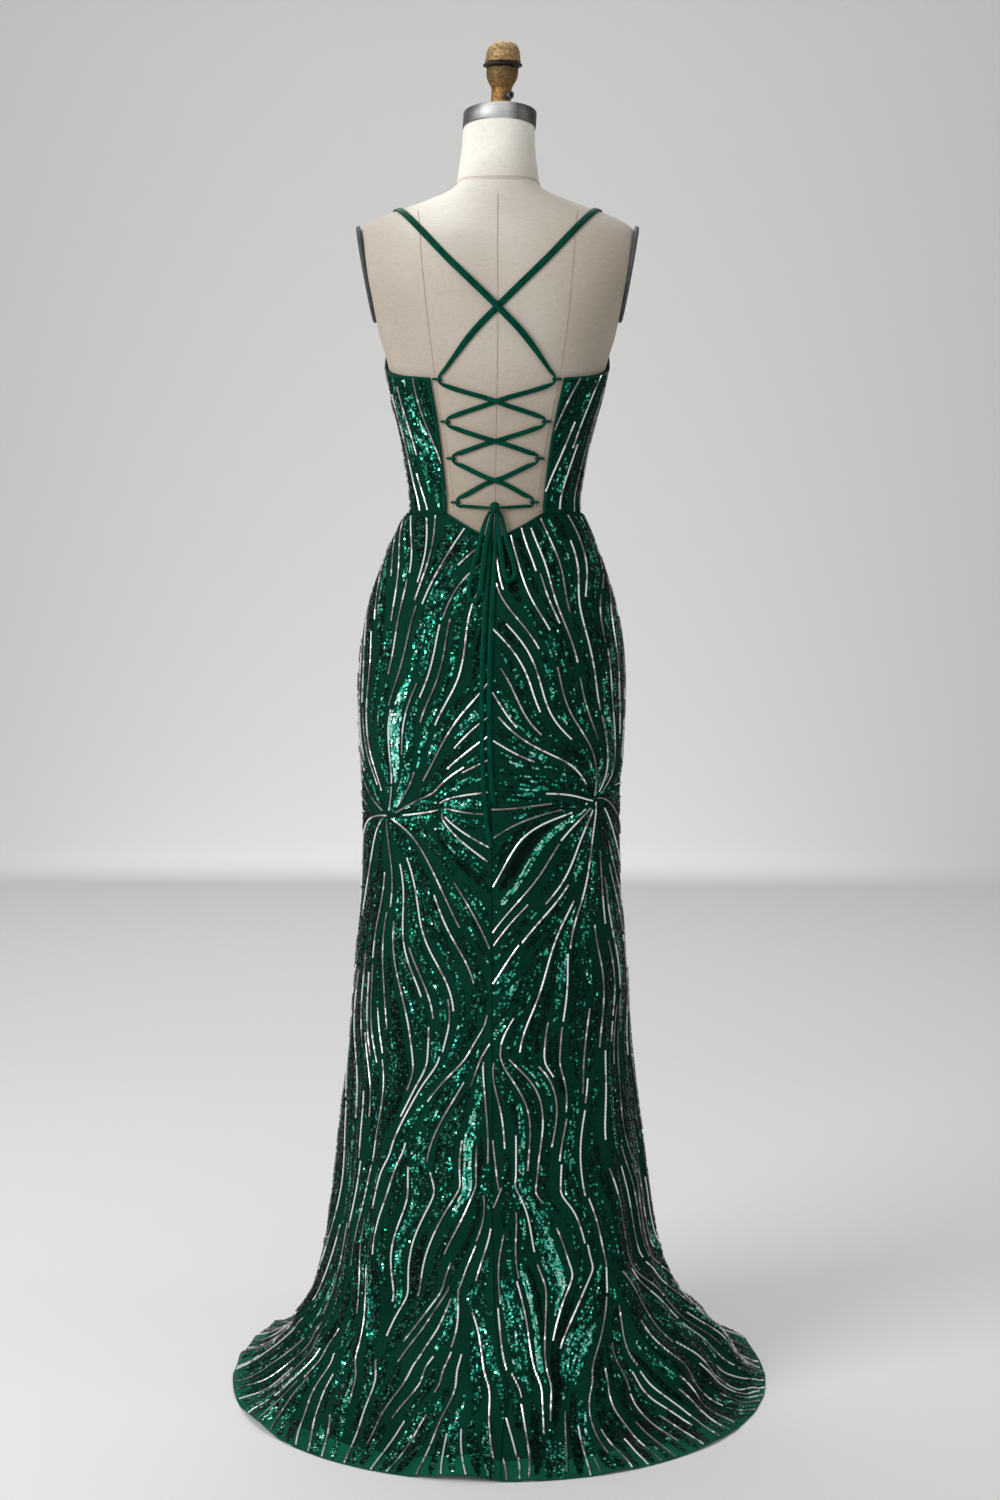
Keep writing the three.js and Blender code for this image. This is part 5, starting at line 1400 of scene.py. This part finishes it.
def scatter_tree(name, is_bead):
    """Geometry nodes that put a bead or a sequin on each point, along its way and off its surface."""
    tree = bpy.data.node_groups.new(name, "GeometryNodeTree")
    tree.interface.new_socket("Geometry", in_out="INPUT", socket_type="NodeSocketGeometry")
    for label in ("Length", "Width", "Tilt"):
        tree.interface.new_socket(label, in_out="INPUT", socket_type="NodeSocketFloat")
    tree.interface.new_socket("Finish", in_out="INPUT", socket_type="NodeSocketMaterial")
    tree.interface.new_socket("Geometry", in_out="OUTPUT", socket_type="NodeSocketGeometry")
    given = node(tree, "NodeGroupInput").outputs
    if is_bead:
        shape = node(tree, "GeometryNodeMeshCylinder", {
            "Vertices": 6, "Radius": 0.5, "Depth": 1.0}, fill_type="NGON")
        shape = node(tree, "GeometryNodeTransform", {"Geometry": shape, "Rotation": (0, math.pi / 2, 0)})
    else:
        shape = node(tree, "GeometryNodeMeshCircle", {"Vertices": 6, "Radius": 0.5}, fill_type="NGON")
    size = node(tree, "ShaderNodeCombineXYZ", {
        "X": given["Length"], "Y": given["Width"], "Z": given["Width"]})
    along = node(tree, "GeometryNodeInputNamedAttribute", {"Name": "along"}, data_type="FLOAT_VECTOR")
    outward = node(tree, "GeometryNodeInputNamedAttribute", {"Name": "outward"}, data_type="FLOAT_VECTOR")
    stand = node(tree, "FunctionNodeAxesToRotation", {
        "Primary Axis": outward, "Secondary Axis": along},
        primary_axis="Z", secondary_axis="X")
    least = node(tree, "ShaderNodeMath", {0: given["Tilt"], 1: -1.0}, operation="MULTIPLY")
    tilt = node(tree, "FunctionNodeRandomValue", {
        "Seed": 11, "Min": least, "Max": given["Tilt"]}, data_type="FLOAT_VECTOR")
    tipped = node(tree, "FunctionNodeRotateRotation", {
        "Rotation": stand, "Rotate By": tilt}, rotation_space="LOCAL")
    placed = node(tree, "GeometryNodeInstanceOnPoints", {
        "Points": given["Geometry"], "Instance": shape, "Rotation": tipped,
        "Scale": size})
    real = node(tree, "GeometryNodeRealizeInstances", {"Geometry": placed})
    flat = node(tree, "GeometryNodeSetShadeSmooth", {
        "Geometry": real, "Shade Smooth": False})
    done = node(tree, "GeometryNodeSetMaterial", {
        "Geometry": flat, "Material": given["Finish"]})
    node(tree, "NodeGroupOutput", {"Geometry": done})
    return tree


BEAD_TREE = scatter_tree("bugle_bead_on_each_point", True)
SEQUIN_TREE = scatter_tree("sequin_on_each_point", False)


def scattered(name, tree, points, ways, normals, tones, sizes, material):
    """Makes a plain mesh of the shapes that a tree puts on points."""
    seedling = mesh_piece(name + "_points", points, [], values={
        "along": ways, "outward": normals, "tone": tones})
    modifier = seedling.modifiers.new("shapes", "NODES")
    modifier.node_group = tree
    values = {"Length": sizes[0] * MM, "Width": sizes[1] * MM, "Tilt": sizes[2], "Finish": material}
    for item in tree.interface.items_tree:
        if item.item_type == "SOCKET" and item.in_out == "INPUT" and item.name in values:
            modifier[item.identifier] = values[item.name]
    graph = bpy.context.evaluated_depsgraph_get()
    mesh = bpy.data.meshes.new_from_object(seedling.evaluated_get(graph))
    piece = bpy.data.objects.new(name, mesh)
    bpy.context.scene.collection.objects.link(piece)
    seedling.modifiers.remove(modifier)
    bpy.data.objects.remove(seedling)
    return piece


def bead_line(random, panel, places):
    """A line of bugle beads, with painted glints in some stretches and painted shade, grey, in others."""
    points, ways, normals, _ = smooth_line(panel, places, BEAD_PITCH)
    count = len(points)
    tones = random.uniform(0.28, 0.78) + 0.17 * soft_noise(random, count, 5)
    tones = tones + 0.07 * random.normal(size=count)
    tones = np.where(tones > 0.58, tones + 0.35, tones)
    return points + normals * 1.2, ways, normals, np.clip(tones, 0, 1)


def caught_light(points):
    """How much more the sequins at points flash than elsewhere."""
    share = np.zeros(len(points))
    for x, y, z, reach, most in zip(*CATCHES.values()):
        far = np.linalg.norm(points - [x, y, z], axis=-1)
        share = share + most * np.exp(-((far / reach) ** 2))
    return share


def sequin_band(random, panel, places):
    """A leaf of sequin strands side by side, widest in its middle. Flashes run along the strands."""
    points, ways, normals, sides = smooth_line(panel, places, SEQUIN_PITCH)
    count = len(points)
    share = np.linspace(0, 1, count)
    width = 1.2 + random.uniform(6.5, 14) * np.sin(np.pi * share) ** 0.55
    mood = 0.7 * random.normal()
    caught = caught_light(points)
    for k in range(-3, 4):
        keep = np.abs(k * STRAND_GAP) <= width / 2
        if not np.any(keep):
            continue
        drift = 0.35 * soft_noise(random, count, 9) + 0.2 * random.normal(size=count)
        flash = 0.75 * soft_noise(random, count, 5) + 0.65 * random.normal(size=count) + mood + 1.1 * caught
        tones = 0.15 + 0.1 * flash
        lit = flash > FLASH_LIMIT
        tones = np.where(lit, 0.65 + 0.22 * (flash - FLASH_LIMIT), tones)
        spots = points + sides * (k * STRAND_GAP + drift)[:, None] + normals * (0.7 + 0.15 * (k % 2))
        yield spots[keep], ways[keep], normals[keep], np.clip(tones, 0, 1)[keep]


def decorate(key, seed):
    """Sews a panel's beads and sequins."""
    panel = PANELS[key]
    random = np.random.default_rng(seed)
    sewn = {"beads": [], "sequins": []}
    for places, kind in zip(*spray_lines(panel, key, seed)):
        if kind == "beads":
            sewn["beads"].append(bead_line(random, panel, places))
        else:
            sewn["sequins"].extend(sequin_band(random, panel, places))
    cloths, held, rests_on = CLOTHS[key]
    pieces = list(cloths[1:])
    for kind, tree, sizes, material, most in (
        ("beads", BEAD_TREE, BEAD_SIZES, BEADS, BEADS_A_PIECE),
        ("sequins", SEQUIN_TREE, SEQUIN_SIZES, SEQUINS, SEQUINS_A_PIECE),
    ):
        points, ways, normals, tones = (np.concatenate(column) for column in zip(*sewn[kind]))
        points = lean(points)
        points[:, 2] = np.maximum(points[:, 2], LOWEST_SEWN)
        parts = math.ceil(len(points) / most)
        for part in range(parts):
            some = slice(part * len(points) // parts, (part + 1) * len(points) // parts)
            name = f"{key}_{kind}_{part + 1}" if parts > 1 else f"{key}_{kind}"
            piece = scattered(
                name, tree, points[some], ways[some], normals[some], tones[some], sizes, material)
            pieces.append(finish(piece, material, slot="sequin_net"))
    panel.declare(cloths[0], held, rests_on, pieces)


for number, key in enumerate(PANELS):
    decorate(key, 40 + number)
